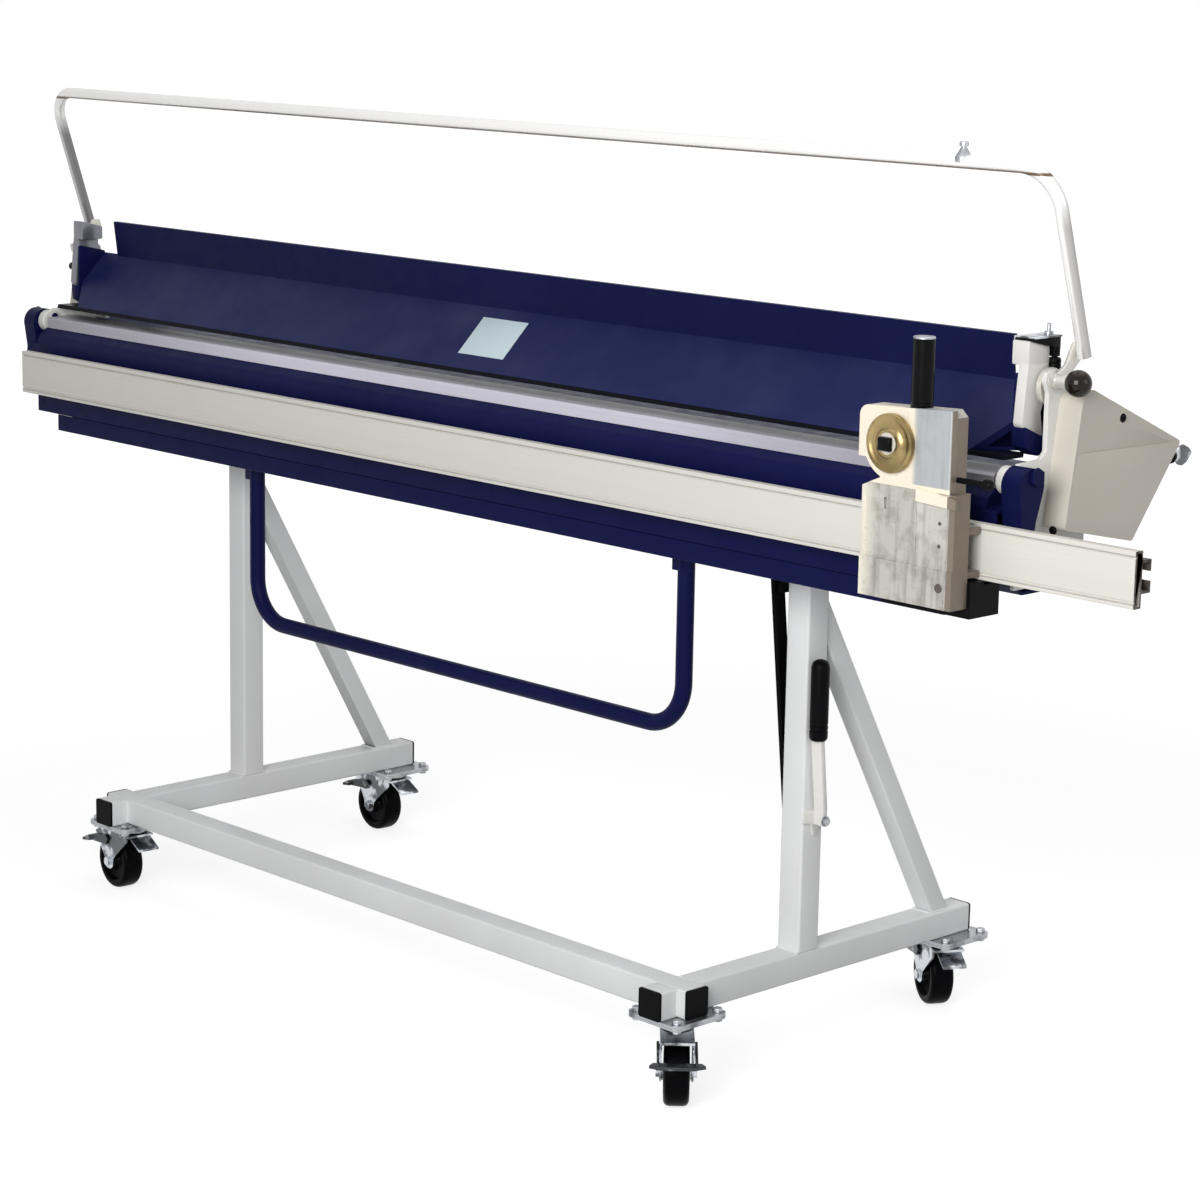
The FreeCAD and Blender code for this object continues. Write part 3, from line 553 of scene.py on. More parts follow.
NAVY = Enamel("navy_enamel", shade(15, 20, 66), 0.42, 0.0, shade(32, 40, 84), 0.18, 0.05)
# Lighter copy of the navy enamel for the beam's slope, which faces up and forward: painted light.
LIT_SLOPE_NAVY = Enamel("navy_slope", shade(26, 33, 80), 0.38, 0.0, shade(62, 68, 104), 0.3, 0.07)
FRAME_WHITE = Enamel("white_powder", shade(238, 239, 239), 0.42, 0.05, shade(208, 205, 198), 0.2)
ARM_WHITE = Enamel("white_enamel", shade(238, 237, 233), 0.35, 0.1, shade(214, 208, 198), 0.2)
COVER_GREY = Enamel("grey_cover_paint", shade(216, 210, 198), 0.5, 0.05, shade(196, 189, 176), 0.25)
BLACK_PAINT = Enamel("black_paint", shade(10, 10, 12), 0.4, 0.0, shade(34, 32, 32), 0.25, 0.06)
# Near-black with a blue tint for the clamp blade under the nose: painted shade of the throat.
BLADE_SHADE_BLACK = Enamel("blued_steel", shade(9, 10, 18), 0.34, 0.0, shade(26, 28, 42), 0.25, 0.05)
STAY_BLACK = Enamel("stay_black", shade(6, 6, 7), 0.45, 0.0, shade(20, 19, 19), 0.2, 0.03)
BARE_PLATE = Enamel("pale_plate", shade(208, 226, 232), 0.45, 0.0, shade(190, 208, 216), 0.3)
RAIL_METAL = RailFinish("drawn_aluminium", shade(222, 219, 211), 0.4, Axis.X, 0.1, 0.08, 0.1)
EDGE_METAL = EdgeStrip("ground_steel_edge", shade(206, 204, 216), 0.36, Axis.X, 0.45, 0.2, 0.15)
BAIL_METAL = BailFinish("pale_tube", shade(252, 251, 249), 0.34, shade(112, 92, 74),
                        shade(206, 206, 208), shade(88, 86, 84), 1402.0, 1184.0)
# Grey copy of the white arm paint, with brushed streaks, for the left arm: painted shade of the dimmer far end.
SHADED_ARM_GREY = GrainedMetal("brushed_arm", shade(134, 134, 142), 0.34, Axis.Z, 0.7, 0.35, 0.3)
CRANK_METAL = GrainedMetal("crank_steel", shade(222, 219, 211), 0.34, Axis.Z, 0.4, 0.12, 0.12)
KNIFE_METAL = GrainedMetal("hardened_steel", shade(150, 150, 154), 0.25, Axis.Z, 1.0, 0.3)
SCREW_BROWN = GrainedMetal("worn_screw", shade(104, 96, 88), 0.4, Axis.X, 0.6, 0.6, 0.5)
PLATE_CAST = CastMetal("milled_plate", shade(240, 231, 212), 0.36, shade(178, 182, 184),
                       shade(160, 163, 165), shade(134, 124, 110), (1099.0, 978.0), 4.0, 0.35)
BODY_CAST = CastMetal("cast_body", shade(226, 220, 206), 0.42, shade(190, 187, 180),
                      shade(150, 146, 138), shade(128, 118, 106), (1022.0, 0.0), 12.0, 0.6)
BRASS_METAL = TurnedMetal("turned_brass", shade(168, 148, 104), 0.24, shade(84, 66, 38), CUTTER_DISC)
# The bright zinc's dark patches are painted reflection.
BRIGHT_ZINC = SpangledZinc("bright_zinc", shade(208, 212, 218), 0.22, shade(22, 23, 26), (0.47, 0.54))
DULL_ZINC = SpangledZinc("dull_zinc", shade(176, 178, 182), 0.34, shade(84, 86, 92), (0.52, 0.7))
PEDAL_ZINC = SpangledZinc("worn_pedal", shade(150, 152, 158), 0.26, shade(9, 9, 11), (0.38, 0.46))
BLACK_CAP = Moulding("black_cap_plastic", shade(7, 7, 9), 0.4, shade(24, 24, 27), 500.0, 0.0001, 0.3, 0.05)
GLOSS_BLACK = Moulding("gloss_black_plastic", shade(5, 5, 7), 0.16, shade(18, 17, 20), 250.0,
                       0.00005, 0.2, 0.1)
BALL_BROWN = Moulding("brown_black_ball", shade(26, 18, 12), 0.1, shade(60, 44, 30), 250.0,
                      0.00005, 0.3, 0.25)
TREAD = Moulding("tread_rubber", shade(6, 6, 8), 0.3, shade(20, 20, 23), 420.0, 0.0001, 0.3, 0.03)
HUB_PLASTIC = Moulding("hub_plastic", shade(8, 8, 11), 0.3, shade(30, 31, 36), 400.0, 0.0001, 0.3, 0.04)

SLOT_FINISHES = {
    "white_frame": FRAME_WHITE, "navy_body": NAVY, "cover_paint": COVER_GREY,
    "white_steel": ARM_WHITE, "black_steel": BLACK_PAINT, "zinc": DULL_ZINC,
    "caster_zinc": BRIGHT_ZINC, "caster_rubber": TREAD, "tool_steel": EDGE_METAL,
    "bail_steel": BAIL_METAL, "drawn_aluminium": RAIL_METAL, "cast_aluminium": BODY_CAST,
    "brass": BRASS_METAL, "black_plastic": BLACK_CAP,
}
NODE_FINISHES = {
    "upper_knife": KNIFE_METAL, "lower_knife": KNIFE_METAL, "fold_pins": NAVY,
    "clamp_blade": BLADE_SHADE_BLACK, "cutter_body": BODY_CAST, "cutter_cover_plate": PLATE_CAST,
    "stay_bar": STAY_BLACK,
}


def put(name: str, bm: Mesh, finish: Finish, body: str, slot: str, node: str = "") -> Piece:
    """Turns a finished bmesh into a piece that rides on a body.

    Args:
        name: Name of the piece.
        bm: Its mesh, in the row frame. It is freed.
        finish: Finish of the whole piece.
        body: CAD body that carries it.
        slot: Material slot of the record; not used.
        node: CAD node that the piece stands for, if any.

    Returns:
        The new object.
    """
    mesh = bpy.data.meshes.new(name)
    bm.to_mesh(mesh)
    bm.free()
    piece = bpy.data.objects.new(name, mesh)
    bpy.context.scene.collection.objects.link(piece)
    mesh.materials.append(finish.material())
    mesh.shade_smooth()
    mesh.set_sharp_from_angle(angle=SMOOTH_ANGLE)
    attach(piece, body)
    if node:
        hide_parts(node)
    LOG.info("made %s", name)
    return piece


def bevel(bm: Mesh, edges: list[bmesh.types.BMEdge], width: float, steps: int) -> None:
    """Rounds edges over a width in millimetres."""
    bmesh.ops.bevel(bm, geom=edges, offset=width * MM, offset_type="OFFSET", segments=steps,
                    profile=0.5, affect="EDGES", clamp_overlap=True, material=-1)


def moved_verts(grown: list[object]) -> list[bmesh.types.BMVert]:
    """The vertices among what an extrusion made."""
    return [g for g in grown if isinstance(g, bmesh.types.BMVert)]


def lathe(axis: Axis, centre: Vector, profile: Profile, steps: int = 72) -> Mesh:
    """Solid of revolution made by spinning a profile.

    Args:
        axis: Direction of the axis.
        centre: A point on the axis, in the row frame.
        profile: (along, radius) pairs in millimetres, counted from the centre.
        steps: Number of steps round the axis.

    Returns:
        The closed mesh.
    """
    bm = bmesh.new()
    along = Vector(axis.value)
    across = Vector((along.z, along.x, along.y))
    verts = [bm.verts.new(centre + along * (a * MM) + across * (r * MM)) for a, r in profile]
    edges = [bm.edges.new(pair) for pair in zip(verts, verts[1:])]
    bmesh.ops.spin(bm, geom=verts + edges, cent=centre, axis=along, angle=math.tau,
                   steps=steps, use_merge=True)
    bmesh.ops.remove_doubles(bm, verts=bm.verts, dist=1e-6)
    bmesh.ops.holes_fill(bm, edges=bm.edges, sides=steps + 1)
    bmesh.ops.recalc_face_normals(bm, faces=bm.faces)
    return bm


def block(size: Point, centre: Vector, ease: float, turn: Matrix = Matrix.Identity(3)) -> Mesh:
    """Block with eased edges.

    Args:
        size: Its three sides in millimetres.
        centre: Its middle, in the row frame.
        ease: Width of the eased edges in millimetres.
        turn: Rotation of the block.

    Returns:
        The closed mesh.
    """
    bm = bmesh.new()
    bmesh.ops.create_cube(bm, size=1.0)
    bmesh.ops.scale(bm, vec=[s * MM for s in size], verts=bm.verts)
    bevel(bm, list(bm.edges), ease, 3)
    bmesh.ops.transform(bm, matrix=Matrix.Translation(centre) @ turn.to_4x4(), verts=bm.verts)
    return bm


def slab(axis: Axis, corners: Profile, span: Pair, ease: float) -> Mesh:
    """Flat plate with eased edges, drawn as an outline and extruded along an axis.

    Args:
        axis: Direction across the plate.
        corners: Outline as the other two coordinates in reading order, in millimetres.
        span: Where the plate starts and ends along the axis.
        ease: Width of the eased edges.

    Returns:
        The closed mesh.
    """
    across = list(Axis).index(axis)
    bm = bmesh.new()
    outline = [bm.verts.new(at(*corner[:across], span[0], *corner[across:])) for corner in corners]
    grown = bmesh.ops.extrude_face_region(bm, geom=[bm.faces.new(outline)])["geom"]
    run = Vector(axis.value) * (span[1] - span[0]) * MM
    bmesh.ops.translate(bm, vec=run, verts=moved_verts(grown))
    bmesh.ops.recalc_face_normals(bm, faces=bm.faces)
    bevel(bm, [e for e in bm.edges if e.calc_face_angle(0.0) > OUTLINE_ANGLE], ease, 2)
    return bm


def rectangle(first: Pair, second: Pair) -> Profile:
    """Corners of a rectangle, from its span in each of two directions."""
    (left, right), (low, high) = first, second
    return [(left, low), (right, low), (right, high), (left, high)]


def hex_prism(bm: Mesh, centre: Vector, high: float, flats: float = 13.0) -> None:
    """Adds an upright hexagon with eased rims to a mesh.

    Args:
        bm: The mesh.
        centre: Middle of its lower face, in the row frame.
        high: Height in millimetres.
        flats: Size across the flats in millimetres.
    """
    made = bmesh.ops.create_circle(bm, cap_ends=True, radius=flats / math.sqrt(3) * MM, segments=6,
                                   matrix=Matrix.Translation(centre))["verts"]
    faces = list({f for v in made for f in v.link_faces})
    top = moved_verts(bmesh.ops.extrude_face_region(bm, geom=faces)["geom"])
    bmesh.ops.translate(bm, vec=Vector((0.0, 0.0, high * MM)), verts=top)
    bevel(bm, list({e for v in made + top for e in v.link_edges}), 0.5, 2)


def merged_copy(node: str) -> Mesh:
    """Copy of a CAD node's mesh, with its loose triangles merged into whole faces."""
    bm = bmesh.new()
    bm.from_mesh(frame["nodes"][node].data)
    bmesh.ops.remove_doubles(bm, verts=bm.verts, dist=WELD_GAP)
    bmesh.ops.dissolve_limit(bm, angle_limit=FLAT_ANGLE, verts=bm.verts, edges=bm.edges,
                             use_dissolve_boundaries=False)
    return bm


def cut_away(bm: Mesh, place: Vector, outward: Point) -> None:
    """Cuts off what lies beyond a plane, outward of a place, and closes the cut."""
    bmesh.ops.bisect_plane(bm, geom=bm.verts[:] + bm.edges[:] + bm.faces[:], plane_co=place,
                           plane_no=Vector(outward), dist=1e-7, clear_outer=True)
    bmesh.ops.holes_fill(bm, edges=[e for e in bm.edges if e.is_boundary], sides=0)


def live_easing(piece: Piece, width: float) -> bpy.types.BevelModifier:
    """Adds a live bevel to the sharp edges of a piece.

    Args:
        piece: The piece.
        width: Width of the eased edges in millimetres.

    Returns:
        The modifier.
    """
    easing = piece.modifiers.new("eased_edges", "BEVEL")
    easing.width = width * MM
    easing.segments = 2
    easing.limit_method = "ANGLE"
    easing.angle_limit = EASED_ANGLE
    easing.use_clamp_overlap = True
    return easing


@dataclass(frozen=True)
class Edges:
    """How a sub-part's edges are eased: a fine ease and a larger corner rounding."""

    ease: float = 0.5
    rounding: float = 0.0
    span: Pair = (0.0, 0.0)
    trim: float = 0.0

    def round_corners(self, bm: Mesh) -> None:
        """Rounds the outward corner edges whose length lies in the span."""
        short, long = self.span
        bevel(bm, [
            e for e in bm.edges
            if len(e.link_faces) == 2 and e.is_convex and short * MM < e.calc_length() < long * MM
            and e.calc_face_angle() > CORNER_ANGLE
        ], self.rounding, 4)

    def trim_ends(self, bm: Mesh) -> None:
        """Takes off what stands proud of the outer face, to make room for a finer piece."""
        proud = [v for v in bm.verts if abs(v.co.x - ZERO.x) > self.trim * MM]
        bmesh.ops.delete(bm, geom=proud, context="VERTS")
        bmesh.ops.holes_fill(bm, edges=[e for e in bm.edges if e.is_boundary], sides=8)


@dataclass
class StandardParts:
    """All sub-parts whose CAD shape shows, each with its finish and edge easing."""

    tube_round: float = 4.0
    cover_face: float = 1205.0
    long_edges: Pair = (200.0, 3000.0)

    def edges(self) -> dict[str, Edges]:
        """Edge work for each sub-part that has more than the usual fine ease."""
        tube = Edges(0.0, self.tube_round, (220.0, 3000.0))
        brace = Edges(0.0, 3.0, (220.0, 3000.0))
        cover = Edges(1.4, 5.0, (39.0, 41.0), self.cover_face + 0.05)
        plate = Edges(0.5, 4.0, (3.2, 8.4))
        table = {
            "front_rail": tube, "front_stubs": Edges(0.0, self.tube_round, (30.0, 36.0)),
            "tube_end_caps": Edges(0.8, self.tube_round, (3.9, 4.1)),
            "mount_plates": plate, "caster_plates": plate,
            "lower_beam": Edges(0.6, 3.0, self.long_edges),
            "folding_beam": Edges(0.6, 2.5, self.long_edges),
            "apron": Edges(0.3, 1.5, self.long_edges),
            "guide_rail": Edges(0.3, 1.0, self.long_edges),
            "cutter_body": Edges(0.8), "cutter_cover_plate": Edges(0.7), "stay_bar": Edges(1.2),
        }
        pairs = {"side_rail": tube, "post": tube, "brace": brace, "cover": cover,
                 "fold_cheek": Edges(2.5)}
        return table | {f"{side.tag}_{name}": work for name, work in pairs.items() for side in Side}

    def build(self, remade: set[str]) -> None:
        """Dresses every node that no other class makes anew.

        Args:
            remade: Nodes that other classes stand for.
        """
        table = self.edges()
        for node, source in frame["nodes"].items():
            finish = NODE_FINISHES.get(node, SLOT_FINISHES[SLOTS[node]])
            if node.endswith("_brake"):
                finish = PEDAL_ZINC
            source.data.materials.clear()
            source.data.materials.append(finish.material())
            if node in remade:
                continue
            work = table.get(node, Edges())
            bm = merged_copy(node)
            if work.trim:
                work.trim_ends(bm)
            if work.rounding:
                work.round_corners(bm)
            bmesh.ops.recalc_face_normals(bm, faces=bm.faces)
            piece = put(node + "_eased", bm, finish, BODIES[node], SLOTS[node], node)
            if work.ease > 0:
                easing = live_easing(piece, work.ease)
                easing.harden_normals = True
                easing.miter_outer = "MITER_ARC"


@dataclass
class CasterWheels:
    """Solid tyre and dished hub for each caster, spun about its own axle."""

    radius: float = 50.0
    half: float = 19.0
    hub_half: float = 18.9
    corners: tuple[str, ...] = ("front_left", "front_right", "rear_left", "rear_right")

    @property
    def nodes(self) -> tuple[str, ...]:
        """Nodes that the tyres stand for."""
        return tuple(corner + "_wheel" for corner in self.corners)

    def spun(self, corner: str, profile: Profile) -> Mesh:
        """A ring with two like sides, on the axle that a caster's joint gives.

        Args:
            corner: Which caster.
            profile: One side of the ring, from the bore outwards.

        Returns:
            The closed mesh.
        """
        joint = next(j for j in frame["joints"] if j["name"] == corner + "_roll")
        turn = Vector(Axis.Y.value).rotation_difference(Vector(joint["axis"]).normalized())
        ring = [(-a, q) for a, q in profile] + profile[::-1]
        bm = lathe(Axis.Y, Vector(), ring + ring[:1], 96)
        place = Matrix.Translation(Vector(joint["pos_m"])) @ turn.to_matrix().to_4x4()
        bmesh.ops.transform(bm, matrix=place, verts=bm.verts)
        bmesh.ops.recalc_face_normals(bm, faces=bm.faces)
        return bm

    def build(self) -> None:
        """Makes the tyres and hubs of all four casters."""
        half, hub = self.half, self.hub_half
        tyre = [
            (half - 1.0, 36.5), (half, 38.0), (half, 43.5), (half - 0.7, 44.2), (half - 0.7, 45.0),
            (half - 1.6, 46.6), (half - 3.4, 48.4), (half - 6.0, 49.5), (half - 9.5, self.radius),
        ]
        core = [
            (hub, 5.6), (hub, 10.4), (hub - 0.8, 11.2), (15.0, 12.0), (9.5, 15.0), (8.0, 17.5),
            (8.0, 30.5), (9.5, 33.0), (half - 2.0, 36.0), (half - 2.0, 37.6),
        ]
        for corner, node in zip(self.corners, self.nodes):
            ride = (BODIES[node], SLOTS[node])
            put(corner + "_tyre", self.spun(corner, tyre), TREAD, *ride, node)
            put(corner + "_hub", self.spun(corner, core), HUB_PLASTIC, *ride)


@dataclass
class RollerCutter:
    """Visible fittings of the cutter: disc, square drive, grip, lock rod and screws."""

    disc: Pair = CUTTER_DISC
    front: float = -139.0
    grip: Pair = (1094.0, -121.0)
    grip_span: Pair = (1080.0, 1178.0)
    lock: Pair = (-122.0, 991.0)
    drive_size: Point = (22.5, 7.4, 19.0)
    drive_seat: float = 11.8
    square_end: float = 16.0
    nodes: tuple[str, ...] = ("knife_hub", "upper_knife", "cutter_grip", "cutter_lock_rod")

    def hub(self) -> None:
        """Dished brass disc with a raised rim and a pale collar round the square."""
        centre = at(self.disc[0], self.front, self.disc[1])
        dish = [
            (-0.5, 7.0), (-0.5, 40.4), (-1.0, 41.0), (-6.2, 41.0), (-7.6, 40.2), (-8.0, 38.6),
            (-7.9, 36.4), (-7.0, 34.4), (-5.8, 32.0), (-5.4, 29.5), (-5.8, 26.0), (-7.2, 22.4),
            (-9.4, 20.2), (-10.4, 19.4), (-10.4, 7.0), (-0.5, 7.0),
        ]
        put("brass_disc", lathe(Axis.Y, centre, dish, 128), BRASS_METAL, "upper_knife", "brass", "knife_hub")
        # Pale grey collar round the square; its pale colour also stands for the highlight there: painted
        # highlight.
        collar = [(-10.3, 7.2), (-10.3, 15.2), (-11.0, 15.2), (-11.6, 14.6), (-11.6, 7.2), (-10.3, 7.2)]
        put("disc_collar", lathe(Axis.Y, centre, collar, 96), COVER_GREY, "upper_knife", "brass")

    def knife(self) -> None:
        """Upper knife, its square end cut back behind the black cap on it."""
        bm = merged_copy("upper_knife")
        cut_away(bm, at(0.0, self.front - self.square_end, 0.0), (0.0, -1.0, 0.0))
        bmesh.ops.recalc_face_normals(bm, faces=bm.faces)
        put("upper_knife_disc", bm, KNIFE_METAL, "upper_knife", "tool_steel", "upper_knife")
        middle = self.front - self.drive_seat - self.drive_size[1] / 2
        cap = block(self.drive_size, at(self.disc[0], middle, self.disc[1]), 2.4)
        put("drive_cap", cap, GLOSS_BLACK, "upper_knife", "black_plastic")

    def grip_sleeve(self) -> None:
        """Black grip with two shallow grooves and a pale rim at its top."""
        low, top = self.grip_span
        centre = at(*self.grip, low)
        high = top - low
        sleeve = [
            (0.0, 0.0), (0.0, 15.0), (0.8, 15.5), (6.0, 15.5), (6.6, 14.9), (8.0, 14.9), (8.6, 15.5),
            (high - 3.4, 15.5), (high - 3.0, 15.2), (high - 3.0, 0.0),
        ]
        put("grip_sleeve", lathe(Axis.Z, centre, sleeve, 96), GLOSS_BLACK, "cutter", "black_plastic",
            "cutter_grip")
        rim = [
            (high - 3.0, 0.0), (high - 3.0, 15.3), (high - 1.2, 15.3), (high - 0.3, 14.2),
            (high - 0.3, 12.4), (high - 1.4, 11.8), (high - 1.4, 0.0),
        ]
        put("grip_rim", lathe(Axis.Z, centre, rim, 96), DULL_ZINC, "cutter", "zinc")

    def lock_rod(self) -> None:
        """Lock rod with a rounded, grooved tip."""
        profile = [
            (1163.0, 0.0), (1163.0, 4.0), (1207.0, 4.0), (1207.4, 5.6), (1210.0, 7.2), (1212.0, 7.5),
            (1213.4, 6.9), (1214.8, 7.5), (1219.0, 7.2), (1221.2, 5.6), (1222.0, 3.0), (1222.0, 0.0),
        ]
        put("lock_rod", lathe(Axis.X, at(0.0, *self.lock), profile, 40), BLACK_PAINT, "cutter",
            "black_steel", "cutter_lock_rod")

    def screw(self, name: str, place: Point, radius: float) -> None:
        """Cap screw with a sunk socket, facing the operator.

        Args:
            name: Name of the piece.
            place: Middle of the face that it stands on.
            radius: Radius of the head.
        """
        high = 1.2
        profile = [
            (0.0, 0.0), (0.0, radius), (-high + 0.4, radius), (-high, radius - 0.4),
            (-high, radius * 0.6), (-high * 0.4, radius * 0.5), (-high * 0.4, 0.0),
        ]
        put(name, lathe(Axis.Y, at(*place), profile, 32), SCREW_BROWN, "cutter", "black_steel")

    def build(self) -> None:
        """Makes all fittings."""
        self.hub()
        self.knife()
        self.grip_sleeve()
        self.lock_rod()
        self.screw("cutter_screw_low", (1150.0, self.front + 0.1, 843.0), 6.4)
        self.screw("cutter_screw_mid", (1147.0, self.front + 2.1, 900.0), 2.6)
        self.screw("cutter_screw_high", (1147.0, self.front + 2.1, 931.0), 2.6)


@dataclass
class RoundCaps:
    """Ball on the end of the bail's shaft and grip of the post lever."""

    shaft: Pair = (69.0, 1111.0)
    x: float = 1209.0
    radius: float = 19.0
    lever: Pair = (732.5, 93.0)
    lever_span: Pair = (515.0, 640.0)
    nodes: tuple[str, ...] = ("bail_ball_cap", "lever_grip")

    def ball_cap(self) -> None:
        """Glossy ball on the end of the bail's shaft."""
        angles = [math.radians(a) for a in range(-50, 90, 10)]
        arc = [(self.radius * math.sin(t), self.radius * math.cos(t)) for t in angles]
        bm = lathe(Axis.X, at(self.x, *self.shaft), [(arc[0][0], 0.0), *arc, (self.radius, 0.0)], 72)
        put("ball_cap", bm, BALL_BROWN, "bail", "black_plastic", "bail_ball_cap")

    def lever_grip(self) -> None:
        """Round-ended grip with a collar and two finger grooves."""
        low, high = self.lever_span
        length = high - low
        profile = [(0.0, 0.0), (0.0, 11.6), (1.0, 12.4), (4.0, 14.0)]
        for groove in (16.0, 24.0):
            profile += [(groove - 1.6, 14.2), (groove - 0.6, 13.2), (groove + 0.6, 13.2),
                        (groove + 1.6, 14.2)]
        profile += [
            (length - 13.0, 14.2), (length - 8.0, 13.2), (length - 4.0, 11.0), (length - 1.4, 7.6),
            (length, 3.0), (length, 0.0),
        ]
        bm = lathe(Axis.Z, at(*self.lever, low), profile, 72)
        put("lever_grip_sleeve", bm, BLACK_CAP, "post_lever", "black_plastic", "lever_grip")

    def build(self) -> None:
        """Makes both."""
        self.ball_cap()
        self.lever_grip()


@dataclass
class BentTube:
    """Round tube of straight lengths and drawn bends, closed at both ends."""

    points: list[Point]
    bend: float
    radius: float
    sides: int = 40
    bend_steps: int = 18

    def straight(self, bm: Mesh, loop: list[bmesh.types.BMEdge], run: Vector) -> list[bmesh.types.BMEdge]:
        """Draws the open end straight on.

        Args:
            bm: The mesh.
            loop: Edges of the open end.
            run: How far and which way.

        Returns:
            Edges of the new open end.
        """
        grown = bmesh.ops.extrude_edge_only(bm, edges=loop)["geom"]
        fresh = set(moved_verts(grown))
        bmesh.ops.translate(bm, vec=run, verts=list(fresh))
        return [g for g in grown if isinstance(g, bmesh.types.BMEdge) and set(g.verts) <= fresh]

    def mesh(self) -> Mesh:
        """Draws the tube along its points.

        Returns:
            The closed mesh.
        """
        path = [at(*p) for p in self.points]
        here = path[0]
        bm = bmesh.new()
        turn = Vector(Axis.Z.value).rotation_difference(path[1] - here).to_matrix().to_4x4()
        bmesh.ops.create_circle(bm, cap_ends=False, radius=self.radius * MM, segments=self.sides,
                                matrix=Matrix.Translation(here) @ turn)
        loop = list(bm.edges)
        for corner, following in zip(path[1:], path[2:]):
            back = (here - corner).normalized()
            ahead = (following - corner).normalized()
            angle = back.angle(ahead)
            start = corner + back * (self.bend * MM / math.tan(angle / 2))
            centre = corner + (back + ahead).normalized() * (self.bend * MM / math.sin(angle / 2))
            loop = self.straight(bm, loop, start - here)
            made = bmesh.ops.spin(bm, geom=list({v for e in loop for v in e.verts}) + loop, cent=centre,
                                  axis=(start - centre).cross(-back), angle=math.pi - angle,
                                  steps=self.bend_steps)
            loop = [g for g in made["geom_last"] if isinstance(g, bmesh.types.BMEdge)]
            here = corner + ahead * (start - corner).length
        self.straight(bm, loop, path[-1] - here)
        bmesh.ops.remove_doubles(bm, verts=bm.verts, dist=1e-7)
        bmesh.ops.holes_fill(bm, edges=[e for e in bm.edges if e.is_boundary], sides=self.sides)
        bmesh.ops.recalc_face_normals(bm, faces=bm.faces)
        return bm


@dataclass
class BailAndHandle:
    """Bright clamping bail with its cranks and clip, and the navy handle under the wing."""

    bail_x: float = 1184.0
    bail_foot: Pair = (112.0, 1142.0)
    bail_top: Pair = (29.0, 1402.0)
    clip_x: float = 1024.0
    clip_high: float = 28.0
    shaft: Pair = (69.0, 1111.0)
    shaft_ends: Pair = (1178.0, 1194.0)
    crank: Pair = (1168.0, 1174.0)
    cam: Pair = (82.0, 1100.1)
    cam_span: Pair = (1146.0, 1154.0)
    handle_x: float = 532.0
    handle_y: float = 4.0
    handle_span: Pair = (506.0, 776.0)
    tab: Point = (40.0, 5.0, 52.0)
    tab_top: Pair = (-5.5, 808.0)
    nodes: tuple[str, ...] = ("bail_tube", "bail_cranks", "u_handle")

    def bail(self) -> None:
        """Bail tube and the small clip on its bar."""
        x, foot, top = self.bail_x, self.bail_foot, self.bail_top
        tube = BentTube([(-x, *foot), (-x, *top), (x, *top), (x, *foot)], 60.0, 10.0)
        put("bail_bar", tube.mesh(), BAIL_METAL, "bail", "bail_steel", "bail_tube")
        high = self.clip_high
        clip = [(0.0, 0.0), (0.0, 12.4), (7.0, 12.4), (8.4, 10.8), (20.0, 4.0), (21.0, 4.0),
                (21.6, 6.6), (high - 1.4, 6.6), (high, 5.2), (high, 0.0)]
        bm = lathe(Axis.Z, at(self.clip_x, top[0], top[1] - 0.4), clip, 40)
        put("bail_clip", bm, DULL_ZINC, "bail", "bail_steel")

    def turned(self, name: str, side: Side, centre: Pair, radius: float, span: Pair) -> None:
        """Round bright piece across the machine with eased rims.

        Args:
            name: Name of the piece without its end.
            side: Which end.
            centre: Its middle as Y and Z.
            radius: Its radius.
            span: Where it starts and ends, counted outwards.
        """
        low, high = span
        profile = [(low, 0.0), (low, radius - 0.8), (low + 0.8, radius), (high - 0.8, radius),
                   (high, radius - 0.8), (high, 0.0)]
        bm = lathe(Axis.X, at(0.0, *centre), side.turned(profile), 48)
        put(f"{name}_{side.tag}", bm, CRANK_METAL, "bail", "bail_steel")

    def cranks(self) -> None:
        """Slim crank, cam and shaft end at both ends of the bail."""
        outline = [
            (54.0, 1117.0), (58.0, 1103.0), (73.0, 1098.5), (120.0, 1138.0), (125.0, 1145.0),
            (120.0, 1162.0), (104.0, 1162.0), (86.0, 1131.0), (70.0, 1122.0),
        ]
        inner = self.cam_span[1] - 1.0
        for side, end in zip(Side, self.shaft_ends):
            plate = slab(Axis.X, outline, side.places(self.crank), 0.6)
            put(f"crank_{side.tag}", plate, CRANK_METAL, "bail", "bail_steel",
                "bail_cranks" if side is Side.RIGHT else "")
            self.turned("crank_cam", side, self.cam, 26.2, self.cam_span)
            self.turned("crank_shaft", side, self.shaft, 10.0, (inner, end))

    def handle(self) -> None:
        """Handle tube and the two flat tabs that it is welded to."""
        x, y = self.handle_x, self.handle_y
        low, top = self.handle_span
        tube = BentTube([(-x, y, top), (-x, y, low), (x, y, low), (x, y, top)], 75.0, 13.5)
        put("handle_bar", tube.mesh(), NAVY, "folding_wing", "navy_body", "u_handle")
        y, top = self.tab_top
        for side in Side:
            tab = block(self.tab, at(side.value * x, y, top - self.tab[2] / 2), 1.2)
            put(f"handle_tab_{side.tag}", tab, NAVY, "folding_wing", "navy_body")

    def build(self) -> None:
        """Makes the bail, its cranks and the handle."""
        self.bail()
        self.cranks()
        self.handle()


